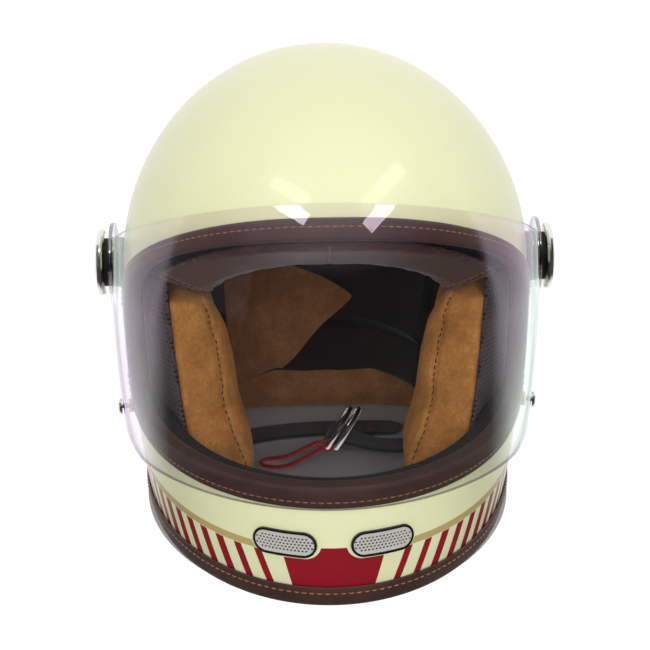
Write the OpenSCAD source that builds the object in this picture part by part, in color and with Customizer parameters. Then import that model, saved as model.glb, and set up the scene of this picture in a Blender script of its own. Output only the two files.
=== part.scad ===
// Retro full-face motorcycle helmet with a bubble visor and a chin bar.
// Millimetres. +Z is up, the front faces -Y, and +X is the wearer's left.
// The origin is the centre of the helmet's footprint, on the surface it stands on.

/* [Outer shell] */
// Outside width of the shell
shell_w = 242; // [236:1:248]
// Height of the widest level above the ground
equator_z = 145; // [140:1:150]
// Height of the crown above the widest level
crown_h = 126; // [122:1:130]
// Reach of the forehead in front of the visor pivots
brow_reach = 145; // [140:1:150]
// Reach of the chin bar in front of the visor pivots
chin_reach = 168; // [164:1:172]
// Reach of the back of the head behind the visor pivots
rear_reach = 165; // [160:1:170]
// Thickness of the composite shell
shell_t = 4; // [3.5:0.1:4.4]

/* [Eyeport] */
// Height of the upper trim edge at the centre
eye_top_z = 210.5; // [206:0.5:214]
// Height of the lower trim edge at the centre
eye_low_z = 62.5; // [60:0.5:66]
// Angle from straight ahead to the rear edge of the eyeport
eye_half_angle = 80; // [77:1:81]
// Width of the leather lip on the outside of the shell
lip_w = 8.5; // [7:0.5:10]

/* [Visor] */
// Height of the pivots above the ground
pivot_z = 143; // [141:1:145]
// Gap between the shell's outside and the visor's outside
visor_off = 8; // [7.6:0.1:8.4]
// Thickness of the visor
visor_t = 2.2; // [2:0.1:2.4]
// Radius of the round tabs at the pivots
tab_r = 24; // [23:0.5:25]
// Diameter of the turned knobs
knob_d = 41; // [38:1:44]
// Thickness of the knobs
knob_t = 5.5; // [5:0.5:7]
// Diameter of the threaded shank of the knobs
shank_d = 5; // [4:0.5:5.5]

/* [Padding] */
// Thickness of the expanded-foam impact liner at the crown
foam_t = 28; // [26:1:30]
// Thickness of the quilted comfort liner
liner_t = 7; // [5:0.5:8]

/* [Chin strap] */
// Width of the webbing
strap_w = 22; // [20:1:24]
// Thickness of the webbing
strap_t = 2; // [1.6:0.1:2.4]
// Wire diameter of the D-rings
ring_wire = 3; // [2.8:0.1:3.2]
// Diameter of the braided pull cord
cord_d = 3; // [2.5:0.1:3.5]

/* [Hidden] */
$fn = 48;
// Where the pivots lie, behind the centre of the footprint
pivot_y = 4.5;
// Room between the shell and the foam, and between the foam and the quilted liner
foam_gap = 1.35;
liner_gap = 2.9;
// Where the trims, the shell and the padding start
shell_low_z = 5;
neck_trim_top_z = 13.5;
// Offset of the outside of the foam from the outside of the shell
foam_off = -shell_t - foam_gap;
liner_off = foam_off - foam_t - liner_gap;
visor_in = visor_off - visor_t;
// Pivot stack, measured outwards from the centre plane
seat_x = shell_w / 2 - 1;
tab_in_x = shell_w / 2 + visor_in;
tab_out_x = shell_w / 2 + visor_off;
washer_t = 3;
washer_d = 29;
knob_x = tab_out_x + washer_t + 0.2;
// Stud at the lower rear corners of the visor
stud_angle = 77.9;
stud_z = 64;
// Vents in the chin bar
vent_angle = 13.25;
vent_z = 41;
vent_l = 36;
vent_h = 15;
vent_bend_r = 88;
// Anchor of the chin strap
anchor_angle = 106;
anchor_z = 36;
// Bar of the outer D-ring, its distance to the inner ring's bar and the rings' half width
ring_x = 4;
ring_y = 18;
ring_z = 17;
ring_pitch = 5.5;
// The folded end of the strap and its rings are turned by this angle about the middle of the fold
ring_turn = -12;
ring_half = 16;
// Where the free webbing bends at the lower edge of the cheek pad
hinge_x = 80.5;
hinge_y = 37;
hinge_z = 4.4;

// ---------- form of the shell ----------
function limit(v, lo, hi) = min(max(v, lo), hi);
function smooth(t) = let (c = limit(t, 0, 1)) c * c * (3 - 2 * c);
function mix(a, b, t) = a + (b - a) * t;

// Share of the full width that is left at height z on the surface offset by off
function crown_share(z, off) = sqrt(max(0, 1 - pow(limit((z - equator_z) / (crown_h + off), 0, 1), 2)));
// Half width of the shell at height z
function side_reach(z) = shell_w / 2 - 12 * pow(limit((equator_z - z) / equator_z, 0, 1), 2.2);
// Reach to the back
function back_reach(z) = rear_reach - 38 * pow(limit((equator_z - z) / equator_z, 0, 1), 2.4);
// Reach to the front: the brow swells into the chin bar, which tucks in under the chin
function front_reach(z) = mix(brow_reach, chin_reach, smooth((equator_z - z) / (equator_z - 45)))
    - 8 * pow(limit((45 - z) / 45, 0, 1), 2);
// Point on the surface at angle a from straight ahead and height z, moved outwards by off
function skin(a, z, off) = let (c = crown_share(z, off))
    [(side_reach(z) + off) * c * sin(a),
     pivot_y - (cos(a) > 0 ? front_reach(z) + off : back_reach(z) + off) * c * cos(a), z];
// Height of the surface at latitude t, from 0 at height z0 to 1 at the pole
function latitude_z(z0, t, off) = let (start = asin(limit((z0 - equator_z) / (crown_h + off), -1, 1)))
    equator_z + (crown_h + off) * sin(mix(start, 90, t));

// ---------- form of the eyeport and the visor ----------
// Share of the eyeport's height that is left at angle a, which rounds the rear corners
function eye_share(a, half) = pow(max(0, 1 - pow(min(abs(a) / half, 1), 6)), 1 / 6);
function eye_high_line(a) = eye_top_z - 62 * pow(abs(a) / eye_half_angle, 2.2);
function eye_low_line(a) = eye_low_z - 4 * pow(a / eye_half_angle, 2);
// Upper and lower edge of the eyeport, drawn in by inset
function eye_half(inset) = eye_half_angle - 0.42 * inset;
function eye_mid(a) = (eye_high_line(a) + eye_low_line(a)) / 2;
function eye_rise(a, inset) = ((eye_high_line(a) - eye_low_line(a)) / 2 - inset) * eye_share(a, eye_half(inset));
function eye_high(a, inset) = eye_mid(a) + eye_rise(a, inset);
function eye_low(a, inset) = eye_mid(a) - eye_rise(a, inset);

visor_low_z = 65;
visor_corner_z = 54;
visor_corner_angle = 76;
visor_end_angle = 97.2;
function tab_y(a) = (cos(a) > 0 ? brow_reach + visor_off : rear_reach + visor_off) * -cos(a);
function tab_rise(a) = sqrt(max(0, tab_r * tab_r - pow(tab_y(a), 2)));
function visor_high(a) = let (u = abs(a)) max(218.5 - 68 * pow(u / 90, 2.1), pivot_z + tab_rise(u));
function visor_low(a) = let (u = abs(a)) u > 90 ? pivot_z - tab_rise(u)
    : visor_low_z - (visor_low_z - visor_corner_z) * pow(min(u, 60) / 60, 2.4)
      + (pivot_z - visor_corner_z) * smooth((u - visor_corner_angle) / (98 - visor_corner_angle));
// The visor bows out in front, and is flat round each pivot, so that it can turn there
visor_bow = 7;
bow_low_z = 61.5;
bow_span = 157;
function visor_skin(a, z, off) = let (
        bow = visor_bow * pow(max(0, cos(a)), 2) * max(0, sin(180 * (z - bow_low_z) / bow_span)),
        p = skin(a, z, off + bow),
        near = smooth((36 - norm([p.y - pivot_y, z - pivot_z])) / 16),
        flat_x = (shell_w / 2 + off) * sign(a))
    [abs(a) < 50 ? p.x : mix(p.x, flat_x, near), p.y, z];

// ---------- solids from grids of points ----------
// Faces of one grid cell whose corners run clockwise seen from outside
function cell(a, b, c, d) = [[a, b, c], [a, c, d]];

// A closed solid between two grids of the same size, columns from left to right, rows upwards
module slab(front, back) {
    nc = len(front);
    nr = len(front[0]);
    half = nc * nr;
    function at(s, i, j) = s * half + i * nr + j;
    polyhedron(
        points = [for (g = [front, back]) for (column = g) for (p = column) p],
        faces = [
            for (i = [0:nc - 2]) for (j = [0:nr - 2])
                each cell(at(0, i, j), at(0, i, j + 1), at(0, i + 1, j + 1), at(0, i + 1, j)),
            for (i = [0:nc - 2]) for (j = [0:nr - 2])
                each cell(at(1, i, j), at(1, i + 1, j), at(1, i + 1, j + 1), at(1, i, j + 1)),
            for (j = [0:nr - 2]) each cell(at(1, 0, j), at(1, 0, j + 1), at(0, 0, j + 1), at(0, 0, j)),
            for (j = [0:nr - 2])
                each cell(at(0, nc - 1, j), at(0, nc - 1, j + 1), at(1, nc - 1, j + 1), at(1, nc - 1, j)),
            for (i = [0:nc - 2])
                each cell(at(1, i, 0), at(0, i, 0), at(0, i + 1, 0), at(1, i + 1, 0)),
            for (i = [0:nc - 2])
                each cell(at(0, i, nr - 1), at(1, i, nr - 1), at(1, i + 1, nr - 1), at(0, i + 1, nr - 1))
        ]);
}

// A solid swept through a list of closed outlines with equal numbers of points
module loft(sections, closed = false) {
    n = len(sections);
    m = len(sections[0]);
    last = closed ? n - 1 : n - 2;
    function at(i, j) = (i % n) * m + (j % m);
    polyhedron(
        points = [for (s = sections) for (p = s) p],
        faces = [
            for (i = [0:last]) for (j = [0:m - 1])
                each cell(at(i, j), at(i, j + 1), at(i + 1, j + 1), at(i + 1, j)),
            if (!closed) [for (j = [m - 1:-1:0]) at(0, j)],
            if (!closed) [for (j = [0:m - 1]) at(n - 1, j)]
        ]);
}

// A vault that closes at the crown; high_edge and low_edge list where each side's rim lies
module vault(angles, out_rim, in_rim, off_out, off_in, rows) {
    n = len(angles);
    pole = 2 * n * rows;
    function at(s, i, j) = j == rows ? pole + s : (s * n + (i % n)) * rows + j;
    polyhedron(
        points = [
            for (s = [0, 1]) for (i = [0:n - 1]) for (j = [0:rows - 1])
                let (off = s == 0 ? off_out : off_in, rim = s == 0 ? out_rim[i] : in_rim[i])
                    skin(angles[i], latitude_z(rim, j / rows, off), off),
            for (off = [off_out, off_in]) [0, pivot_y, equator_z + crown_h + off]
        ],
        faces = [
            for (i = [0:n - 1]) for (j = [0:rows - 2])
                each cell(at(0, i, j), at(0, i, j + 1), at(0, i + 1, j + 1), at(0, i + 1, j)),
            for (i = [0:n - 1]) for (j = [0:rows - 2])
                each cell(at(1, i, j), at(1, i + 1, j), at(1, i + 1, j + 1), at(1, i, j + 1)),
            for (i = [0:n - 1]) [at(0, i, rows - 1), at(0, i, rows), at(0, i + 1, rows - 1)],
            for (i = [0:n - 1]) [at(1, i, rows - 1), at(1, i + 1, rows - 1), at(1, i, rows)],
            for (i = [0:n - 1]) each cell(at(1, i, 0), at(0, i, 0), at(0, i + 1, 0), at(1, i + 1, 0))
        ]);
}

// Columns round the head: close together at the eyeport's rear edges, even behind them
front_steps = 13;
rear_steps = 24;
lip_half = eye_half(lip_w);
head_angles = concat(
    [for (k = [-front_steps:front_steps]) lip_half * sin(90 * k / front_steps)],
    [for (k = [1:rear_steps - 1]) lip_half + (360 - 2 * lip_half) * k / rear_steps]);
// Angle from straight ahead, from 0 to 180 either way round
function turn(a) = a > 180 ? 360 - a : abs(a);

// Places something by the pivot axis of one side, with its own Z pointing outwards along X
module at_pivot(side) {
    translate([0, pivot_y, pivot_z]) rotate([0, side * 90, 0]) children();
}
// Places something on the surface, with its own Z along the level outward normal
module at_skin(a, z, off) {
    p = skin(a, z, off);
    n = [sin(a) / side_reach(z), cos(a) / (cos(a) > 0 ? front_reach(z) : back_reach(z))];
    translate(p) rotate([90, 0, atan2(n.x, n.y)]) children();
}
module pill(length, height) {
    for (s = [-1, 1]) translate([s * (length - height) / 2, 0]) circle(d = height);
    square([length - height, height], center = true);
}

// ---------- shell and trims ----------
module shell() {
    rows_low = 7;
    rows_high = 9;
    n = len(head_angles);
    column = rows_low + 1 + rows_high;
    pole = 2 * n * column;
    is_open = [for (a = head_angles) turn(a) < lip_half - 0.01];
    mid = eye_mid(lip_half);
    low_edge = [for (i = [0:n - 1]) is_open[i] ? eye_low(head_angles[i], lip_w) : mid];
    high_edge = [for (i = [0:n - 1]) is_open[i] ? eye_high(head_angles[i], lip_w) : mid];
    offs = [0, -shell_t];
    function low(s, i, j) = (s * n + (i % n)) * column + j;
    function high(s, i, j) = j == rows_high ? pole + s
        : j == 0 && !is_open[i % n] ? low(s, i, rows_low) : low(s, i, rows_low + 1 + j);
    function some_open(i) = is_open[i] || is_open[(i + 1) % n];
    color("khaki") difference() {
        polyhedron(
            points = [
                for (s = [0, 1]) for (i = [0:n - 1]) each [
                    for (j = [0:rows_low])
                        skin(head_angles[i], mix(shell_low_z, low_edge[i], j / rows_low), offs[s]),
                    for (j = [0:rows_high - 1])
                        skin(head_angles[i], latitude_z(high_edge[i], j / rows_high, offs[s]), offs[s])
                ],
                for (off = offs) [0, pivot_y, equator_z + crown_h + off]
            ],
            faces = [
                for (i = [0:n - 1]) for (j = [0:rows_low - 1]) each concat(
                    cell(low(0, i, j), low(0, i, j + 1), low(0, i + 1, j + 1), low(0, i + 1, j)),
                    cell(low(1, i, j), low(1, i + 1, j), low(1, i + 1, j + 1), low(1, i, j + 1))),
                for (i = [0:n - 1]) for (j = [0:rows_high - 2]) each concat(
                    cell(high(0, i, j), high(0, i, j + 1), high(0, i + 1, j + 1), high(0, i + 1, j)),
                    cell(high(1, i, j), high(1, i + 1, j), high(1, i + 1, j + 1), high(1, i, j + 1))),
                for (i = [0:n - 1]) each [
                    [high(0, i, rows_high - 1), high(0, i, rows_high), high(0, i + 1, rows_high - 1)],
                    [high(1, i, rows_high - 1), high(1, i + 1, rows_high - 1), high(1, i, rows_high)]],
                for (i = [0:n - 1]) each cell(low(1, i, 0), low(0, i, 0), low(0, i + 1, 0), low(1, i + 1, 0)),
                for (i = [0:n - 1]) if (some_open(i)) each concat(
                    cell(low(0, i, rows_low), low(1, i, rows_low),
                        low(1, i + 1, rows_low), low(0, i + 1, rows_low)),
                    cell(high(1, i, 0), high(0, i, 0), high(0, i + 1, 0), high(1, i + 1, 0)))
            ]);
        shell_holes();
    }
}
// Everything that is drilled or cut through the shell
module shell_holes() {
    for (side = [-1, 1]) {
        at_pivot(side) {
            cylinder(h = 200, d = 7.2);
            translate([0, 0, seat_x]) cylinder(h = 20, d = 33);
        }
        at_skin(side * vent_angle, vent_z, 0) translate([0, 0, -15])
            linear_extrude(height = 30) pill(vent_l - 3, vent_h - 3);
        at_skin(side * stud_angle, stud_z, 0) translate([0, 0, -10]) cylinder(h = 20, d = 3.2);
        at_skin(side * anchor_angle, anchor_z, 0) translate([0, 0, -10]) cylinder(h = 20, d = 5.2);
    }
}

// Leather edging of the eyeport: a lip outside, a fold over the edge and a tongue inside
module eyeport_trim() {
    // Each pair is how far in from the trim's outer edge and how far out from the shell
    clear = 0.6;
    fold = [[0, clear], [0, 1.5], [1.5, 2.1], [lip_w, 2.1], [lip_w + 2.2, 0.9], [lip_w + 2.6, -3],
        [lip_w + 2.6, -8], [lip_w + clear, -8], [lip_w + clear, clear], [lip_w - 0.4, clear]];
    steps = front_steps;
    // Round the opening: along the upper edge to the left, then back along the lower edge
    route = concat(
        [for (k = [-steps:steps]) [1, sin(90 * k / steps)]],
        [for (k = [steps - 1:-1:1 - steps]) [-1, sin(90 * k / steps)]]);
    color("saddlebrown") loft(closed = true, sections = [
        for (r = route) [
            for (k = [len(fold) - 1:-1:0]) let (f = fold[k], a = eye_half(f[0]) * r[1])
                skin(a, r[0] > 0 ? eye_high(a, f[0]) : eye_low(a, f[0]), f[1])
        ]
    ]);
}

// Leather edging of the neck opening, which the helmet stands on
module neck_trim() {
    wrap = [[1.8, 0.6], [1.8, neck_trim_top_z - 0.8], [1.1, neck_trim_top_z], [0.3, neck_trim_top_z],
        [0.3, shell_low_z - 0.3], [-shell_t - 0.3, shell_low_z - 0.3], [-shell_t - 0.3, 10],
        [-shell_t - 1.7, 10], [-shell_t - 1.7, 0.6], [-shell_t - 0.6, -1], [0.8, -1]];
    color("saddlebrown") difference() {
        loft(closed = true, sections = [
            for (a = head_angles) [for (w = wrap) skin(a, w[1], w[0])]
        ]);
        translate([-200, -200, -10]) cube([400, 400, 10]);
    }
}

// ---------- impact liner ----------
crown_low_z = 142;
// How far the foam's outer rim stays back from the eyeport's trim
rim_lift = 3;
// Rim of the crown foam: over the eyeport in front, at the ears beside it, low at the back
function crown_rim(a, drop) = let (u = turn(a), ear = mix(crown_low_z, 36, smooth((u - 112) / 22)))
    u < 70 ? max(eye_high(a, lip_w) - drop, ear)
    : mix(max(eye_high(70, lip_w) - drop, ear), ear, smooth((u - 70) / 10));

// Room in the foam round the pivot's threaded insert
module pivot_pocket(side) {
    at_pivot(side) translate([0, 0, seat_x - 9]) cylinder(h = 20, d = 25);
}

module crown_foam() {
    color("dimgray") difference() {
        vault(head_angles, [for (a = head_angles) crown_rim(a, -rim_lift)],
            [for (a = head_angles) crown_rim(a, 18)], foam_off, foam_off - foam_t, 9);
        for (side = [-1, 1]) pivot_pocket(side);
    }
}

chin_half = 73;
function chin_top(a) = eye_low(a, lip_w - 0.2);
module chin_foam() {
    cols = [for (k = [-12:12]) chin_half * k / 12];
    color("dimgray") difference() {
        slab([for (a = cols) [for (j = [0:4]) skin(a, mix(16, chin_top(a), j / 4), foam_off)]],
             [for (a = cols) [for (j = [0:4]) skin(a, mix(16, chin_top(a) - 2, j / 4), -18)]]);
        for (side = [-1, 1]) at_skin(side * vent_angle, vent_z, 0) translate([0, 0, -30])
            linear_extrude(height = 60) pill(vent_l + 3, vent_h + 3);
    }
}

module cheek_foam(side) {
    cols = [for (k = [0:8]) side * (side > 0 ? mix(77, 98, k / 8) : mix(98, 77, k / 8))];
    color("dimgray") difference() {
        slab(
            [for (a = cols) [for (j = [0:6]) skin(a, mix(16, crown_low_z - 3, j / 6), foam_off)]],
            [for (a = cols) [for (j = [0:6]) skin(a, mix(16, crown_low_z - 3, j / 6), -15)]]);
        pivot_pocket(side);
        at_skin(side * stud_angle, stud_z, -shell_t - 2.4) cylinder(h = 4, d = 9);
    }
}

// ---------- soft lining ----------
// Edge of the crown liner: above the cheek pads, and lower behind them
function liner_low(a) = mix(96, 39, smooth((turn(a) - 114) / 16));
module crown_liner() {
    color("peru") vault(head_angles,
        [for (a = head_angles) max(crown_rim(a, 16), liner_low(a))],
        [for (a = head_angles) max(crown_rim(a, 18), liner_low(a) + 2)],
        liner_off, liner_off - liner_t, 8);
}

module brow_pad() {
    cols = [for (k = [-12:12]) 62 * k / 12];
    // Runs down and back over the rim of the foam, from the trim to inside the crown liner
    function face(a, t, lift) = skin(a, mix(crown_rim(a, 0) - 3.4, crown_rim(a, 24), t) - lift * 0.7,
        mix(-9, liner_off - liner_t + 1, t));
    color("saddlebrown") slab(
        [for (a = cols) [for (j = [0:5]) face(a, 1 - j / 5, 7)]],
        [for (a = cols) [for (j = [0:5]) face(a, 1 - j / 5, 1.5)]]);
}

// A cheek pad is crowned towards the face; its front edge comes forward under the cheek bone
pad_low_z = 17;
pad_high_z = 139;
pad_back_angle = 111;
liner_stud_z = [40, 92];
function pad_front_angle(z) = mix(48, 66, pow(limit((z - 34) / 100, 0, 1), 0.6));
function pad_depth(u, t) = mix(52, 39, smooth((mix(pad_low_z, pad_high_z, t) - 25) / 50))
    * pow(sin(180 * mix(0.16, 0.97, u)), 0.35) * pow(sin(180 * mix(0.12, 0.88, t)), 0.4);
module cheek_pad(side) {
    steps = 11;
    rows = 10;
    // Point at share u from front to back and share t from bottom to top
    function at(u, t, inner) = let (
            z = mix(pad_low_z, pad_high_z, t),
            a = mix(pad_front_angle(z), pad_back_angle, u),
            outside = a > 76 ? -15.8 : -22)
        skin(side * a, z, outside - (inner ? 3 + pad_depth(u, t) : 0));
    shares = [for (k = [0:steps]) side > 0 ? k / steps : 1 - k / steps];
    color("peru") difference() {
        slab(
            [for (u = shares) [for (j = [0:rows]) at(u, j / rows, false)]],
            [for (u = shares) [for (j = [0:rows]) at(u, j / rows, true)]]);
        for (z = liner_stud_z) at_liner_stud(side, z) translate([0, 0, -0.2]) cylinder(h = 3.6, d = 8.6);
    }
}

module neck_roll() {
    cols = [for (k = [0:20]) mix(118, 242, k / 20)];
    // The roll is deepest behind the neck and thins out towards its ends
    function depth(a) = 12 + 41 * smooth((turn(a) - 118) / 55);
    function share(t) = pow(sin(180 * mix(0.06, 0.92, t)), 0.25);
    color("peru") slab(
        [for (a = cols) [for (j = [0:6]) skin(a, mix(9, 32, j / 6), -7)]],
        [for (a = cols) [for (j = [0:6]) skin(a, mix(5.5, 30.5, j / 6), -9 - depth(a) * share(j / 6))]]);
}

// Perforated lining on the inside of the chin bar
module chin_lining() {
    cols = [for (k = [-12:12]) 55 * k / 12];
    color("dimgray") slab(
        [for (a = cols) [for (j = [0:4]) skin(a, mix(16, chin_top(a) - 3, j / 4), -18.6)]],
        [for (a = cols) [for (j = [0:4]) skin(a, mix(17, chin_top(a) - 5, j / 4), -21)]]);
}

// Press studs that hold the loose linings on the foam
module at_liner_stud(side, z) {
    at_skin(side * 87.5, z, -15.6) rotate([180, 0, 0]) children();
}
module liner_studs() {
    color("black") for (side = [-1, 1]) for (z = liner_stud_z) at_liner_stud(side, z) cylinder(h = 3, d = 8);
}

// ---------- vents ----------
// Keeps what lies in a thin wall that follows the bend of the chin bar
module bent(side, low, high) {
    intersection() {
        at_skin(side * vent_angle, vent_z, 0) translate([0, 0, -10]) linear_extrude(height = 20) children();
        at_skin(side * vent_angle, vent_z, 0) translate([0, -20, -vent_bend_r]) rotate([-90, 0, 0])
            difference() {
                cylinder(h = 40, r = vent_bend_r + high, $fn = 96);
                translate([0, 0, -1]) cylinder(h = 42, r = vent_bend_r + low, $fn = 96);
            }
    }
}
module vent_bezel(side) {
    color("black") union() {
        bent(side, 0.3, 1.6) difference() {
            pill(vent_l, vent_h);
            pill(vent_l - 2.4, vent_h - 2.4);
        }
        bent(side, 0.3, 0.6) difference() {
            pill(vent_l - 2, vent_h - 2);
            pill(vent_l - 5.6, vent_h - 5.6);
        }
        bent(side, -5, 0.5) difference() {
            pill(vent_l - 3.4, vent_h - 3.4);
            pill(vent_l - 5.6, vent_h - 5.6);
        }
    }
}
module vent_grille(side) {
    pitch = 3;
    color("silver") bent(side, 0.7, 1.3) difference() {
        pill(vent_l - 2.8, vent_h - 2.8);
        for (row = [-1, 0, 1]) for (k = [-4:4])
            translate([(k + (row == 0 ? 0 : 0.5)) * pitch, row * pitch * 0.87]) circle(d = 1.8);
    }
}
module vent_filter(side) {
    color("black") bent(side, -4.8, -0.8) pill(vent_l - 6, vent_h - 6);
}

// ---------- visor and its pivots ----------
module visor() {
    cols = concat(
        [for (k = [0:7]) mix(-visor_end_angle, -visor_corner_angle, k / 8)],
        [for (k = [-11:11]) visor_corner_angle * k / 11],
        [for (k = [1:8]) mix(visor_corner_angle, visor_end_angle, k / 8)]);
    rows = 13;
    color("aliceblue", 0.4) difference() {
        slab([for (a = cols) [for (j = [0:rows])
                visor_skin(a, mix(visor_low(a), visor_high(a), j / rows), visor_off)]],
             [for (a = cols) [for (j = [0:rows])
                visor_skin(a, mix(visor_low(a), visor_high(a), j / rows), visor_in)]]);
        for (side = [-1, 1]) {
            at_pivot(side) cylinder(h = 200, d = 12.1);
            at_skin(side * stud_angle, stud_z, visor_off) translate([0, 0, -10]) cylinder(h = 20, d = 3.2);
        }
    }
}

// Flanged bush that the visor turns on
module pivot_bush(side) {
    color("black") at_pivot(side) difference() {
        union() {
            translate([0, 0, seat_x]) cylinder(h = tab_in_x - 0.1 - seat_x, d = 30);
            translate([0, 0, seat_x]) cylinder(h = tab_out_x + 0.1 - seat_x, d = 12);
        }
        cylinder(h = 200, d = shank_d + 0.2);
    }
}
// Threaded insert on the inside of the shell
module pivot_insert(side) {
    inner = shell_w / 2 - shell_t;
    color("goldenrod") at_pivot(side) difference() {
        union() {
            translate([0, 0, inner - 3.6]) cylinder(h = 2, d = 20);
            translate([0, 0, inner - 3.6]) cylinder(h = 6.5, d = 7);
        }
        cylinder(h = 200, d = shank_d + 0.2);
    }
}
// Rubber washer between the knob and the visor
module pivot_washer(side) {
    color("black") at_pivot(side) difference() {
        translate([0, 0, tab_out_x + 0.15]) cylinder(h = washer_t, d = washer_d);
        cylinder(h = 200, d = shank_d + 0.2);
    }
}
// Turned knob with a coned rim and its threaded shank
module pivot_knob(side) {
    r = knob_d / 2;
    // Radius and height of the turned outline
    outline = [[0, 0], [r - 2, 0], [r - 0.6, 0.5], [r, 1.6], [r, knob_t - 3], [r - 0.7, knob_t - 1.6],
        [r - 3, knob_t - 0.5], [r - 6.5, knob_t], [9.2, knob_t - 0.4], [9, knob_t - 1.4], [0, knob_t - 1.4]];
    color("silver") at_pivot(side) union() {
        translate([0, 0, knob_x]) rotate_extrude($fn = 96) polygon(outline);
        translate([0, 0, shell_w / 2 - shell_t - 3]) cylinder(h = knob_x - seat_x + 7, d = shank_d);
    }
}
// Inlay in the face of the knob
module knob_cap(side) {
    color("goldenrod") at_pivot(side) translate([0, 0, knob_x + knob_t - 1.4]) rotate_extrude($fn = 72)
        polygon([[0, 0], [8.9, 0], [8.9, 1.6], [8.4, 2.1], [3, 2.6], [0, 2.6]]);
}
// Press stud on the shell, just under the visor
module stud_base(side) {
    color("goldenrod") at_skin(side * stud_angle, stud_z, 0) union() {
        translate([0, 0, -shell_t - 1.9]) cylinder(h = 1.2, d = 7);
        translate([0, 0, -shell_t - 1.5]) cylinder(h = shell_t + 5.5, d = 3);
        translate([0, 0, 0.5]) cylinder(h = 3.9, d = 8.5);
    }
}
// Its cap on the outside of the visor
module stud_cap(side) {
    color("goldenrod") at_skin(side * stud_angle, stud_z, visor_off) union() {
        translate([0, 0, 0.6]) rotate_extrude()
            polygon([[0, 0], [5, 0], [5, 0.8], [4.2, 1.7], [2.4, 2.3], [0, 2.5]]);
        translate([0, 0, -visor_t - 0.6]) cylinder(h = visor_t + 1.8, d = 3);
    }
}

// ---------- chin strap ----------
// Direction of a route at its point k
function route_step(r, k) = r[min(k + 1, len(r) - 1)] - r[max(k - 1, 0)];
// A flat band swept through stations: centre, direction across the band and thickness direction
module band(stations, width, thick) {
    loft([for (s = stations) let (across = s[1] / norm(s[1]) * width / 2, up = s[2] / norm(s[2]) * thick / 2)
        [s[0] - across - up, s[0] + across - up, s[0] + across + up, s[0] - across + up]]);
}
module strap_plate(side) {
    color("silver") at_skin(side * anchor_angle, anchor_z, 0) difference() {
        translate([-11, -9, -shell_t - 3.6]) cube([22, 18, 1.5]);
        translate([0, 0, -15]) cylinder(h = 20, d = 5.2);
    }
}
module strap_rivet(side) {
    color("silver") at_skin(side * anchor_angle, anchor_z, 0) union() {
        translate([0, 0, 0.6]) rotate_extrude()
            polygon([[0, 0], [5.5, 0], [5.2, 0.9], [3.6, 1.7], [0, 2.1]]);
        translate([0, 0, -shell_t - 8.8]) cylinder(h = shell_t + 9.8, d = 5);
        translate([0, 0, -shell_t - 9.8]) cylinder(h = 1.2, d = 9);
    }
}
// The sewn end of the webbing, from the rivet down and round the edge of the cheek pad
module strap_anchor(side) {
    top = skin(side * anchor_angle, anchor_z, -shell_t - 4.8) + [0, 0, 9];
    low = skin(side * anchor_angle, 13, -shell_t - 5);
    route = [top, mix(top, low, 0.5), low, [side * 94.5, 38.4, 8.2], [side * 88.5, 37.4, 5.2],
        [side * (hinge_x + 1.6), hinge_y, hinge_z]];
    color("black") difference() {
        band([for (k = [0:len(route) - 1])
                let (along = route_step(route, k), across = [mix(-0.24, 0, min(k / 3, 1)), side, 0])
                [route[k], across, cross(across, along)]], strap_w - 1, strap_t);
        at_skin(side * anchor_angle, anchor_z, 0) translate([0, 0, -30]) cylinder(h = 60, d = 5.2);
    }
}
// Places something by the folded end of the left strap
module at_fold() {
    translate([ring_x + ring_pitch / 2, ring_y, 0]) rotate([0, 0, ring_turn]) children();
}
// The free webbing lies on the ground from the edge of the helmet to the middle of the opening
module strap_left() {
    // Centre of the band and the way across it, from the hinge line inwards
    route = [[[hinge_x - 1.6, hinge_y, hinge_z], [0.1, 1, 0]], [[68, 32, 4.4], [-0.25, 1, 0]], [[54, 25.5, 6], [-0.3, 1, 0]],
        [[40, 19.5, 9.2], [-0.25, 1, 0]], [[28, 16.2, 13], [0, 1, 0]], [[20, 15.6, 15.8], [0.15, 1, 0]],
        [[12.9, 16.9, 16.9], [0.21, 1, 0]]];
    color("black") union() {
        band([for (r = route) [r[0], r[1], [0, 0, 1]]], strap_w, 3.4);
        // The folded end that holds the bars of both rings
        at_fold() translate([0, 0, ring_z]) rotate([90, 0, 0]) translate([0, 0, -strap_w / 2])
            linear_extrude(height = strap_w) difference() {
                pill(ring_pitch + 8.4, 8.4);
                pill(ring_pitch + 4.2, 4.2);
            }
    }
}
module strap_right() {
    // The way across points forwards here, because this band runs the other way
    route = [[[1.6 - hinge_x, hinge_y, hinge_z], [-0.1, -1, 0]], [[-66, 42, 3], [0.35, -1, 0]], [[-50, 50, 2.4], [0.4, -1, 0]],
        [[-30, 56.5, 2.4], [0.25, -1, 0]], [[-8, 60, 2.4], [0.1, -1, 0]], [[14, 61, 2.4], [0, -1, 0]],
        [[34, 60.5, 2.4], [-0.04, -1, 0]], [[42, 60, 2.4], [0, -1, 0]]];
    tip = route[len(route) - 1][0];
    color("black") union() {
        band([for (r = route) [r[0], r[1], [0, 0, 1]]], strap_w, 2.4);
        translate([tip.x - 0.5, tip.y, tip.z - 1.2]) intersection() {
            cylinder(h = 2.4, d = strap_w);
            translate([0, -strap_w / 2, 0]) cube([strap_w, strap_w, 2.4]);
        }
    }
}
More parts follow.
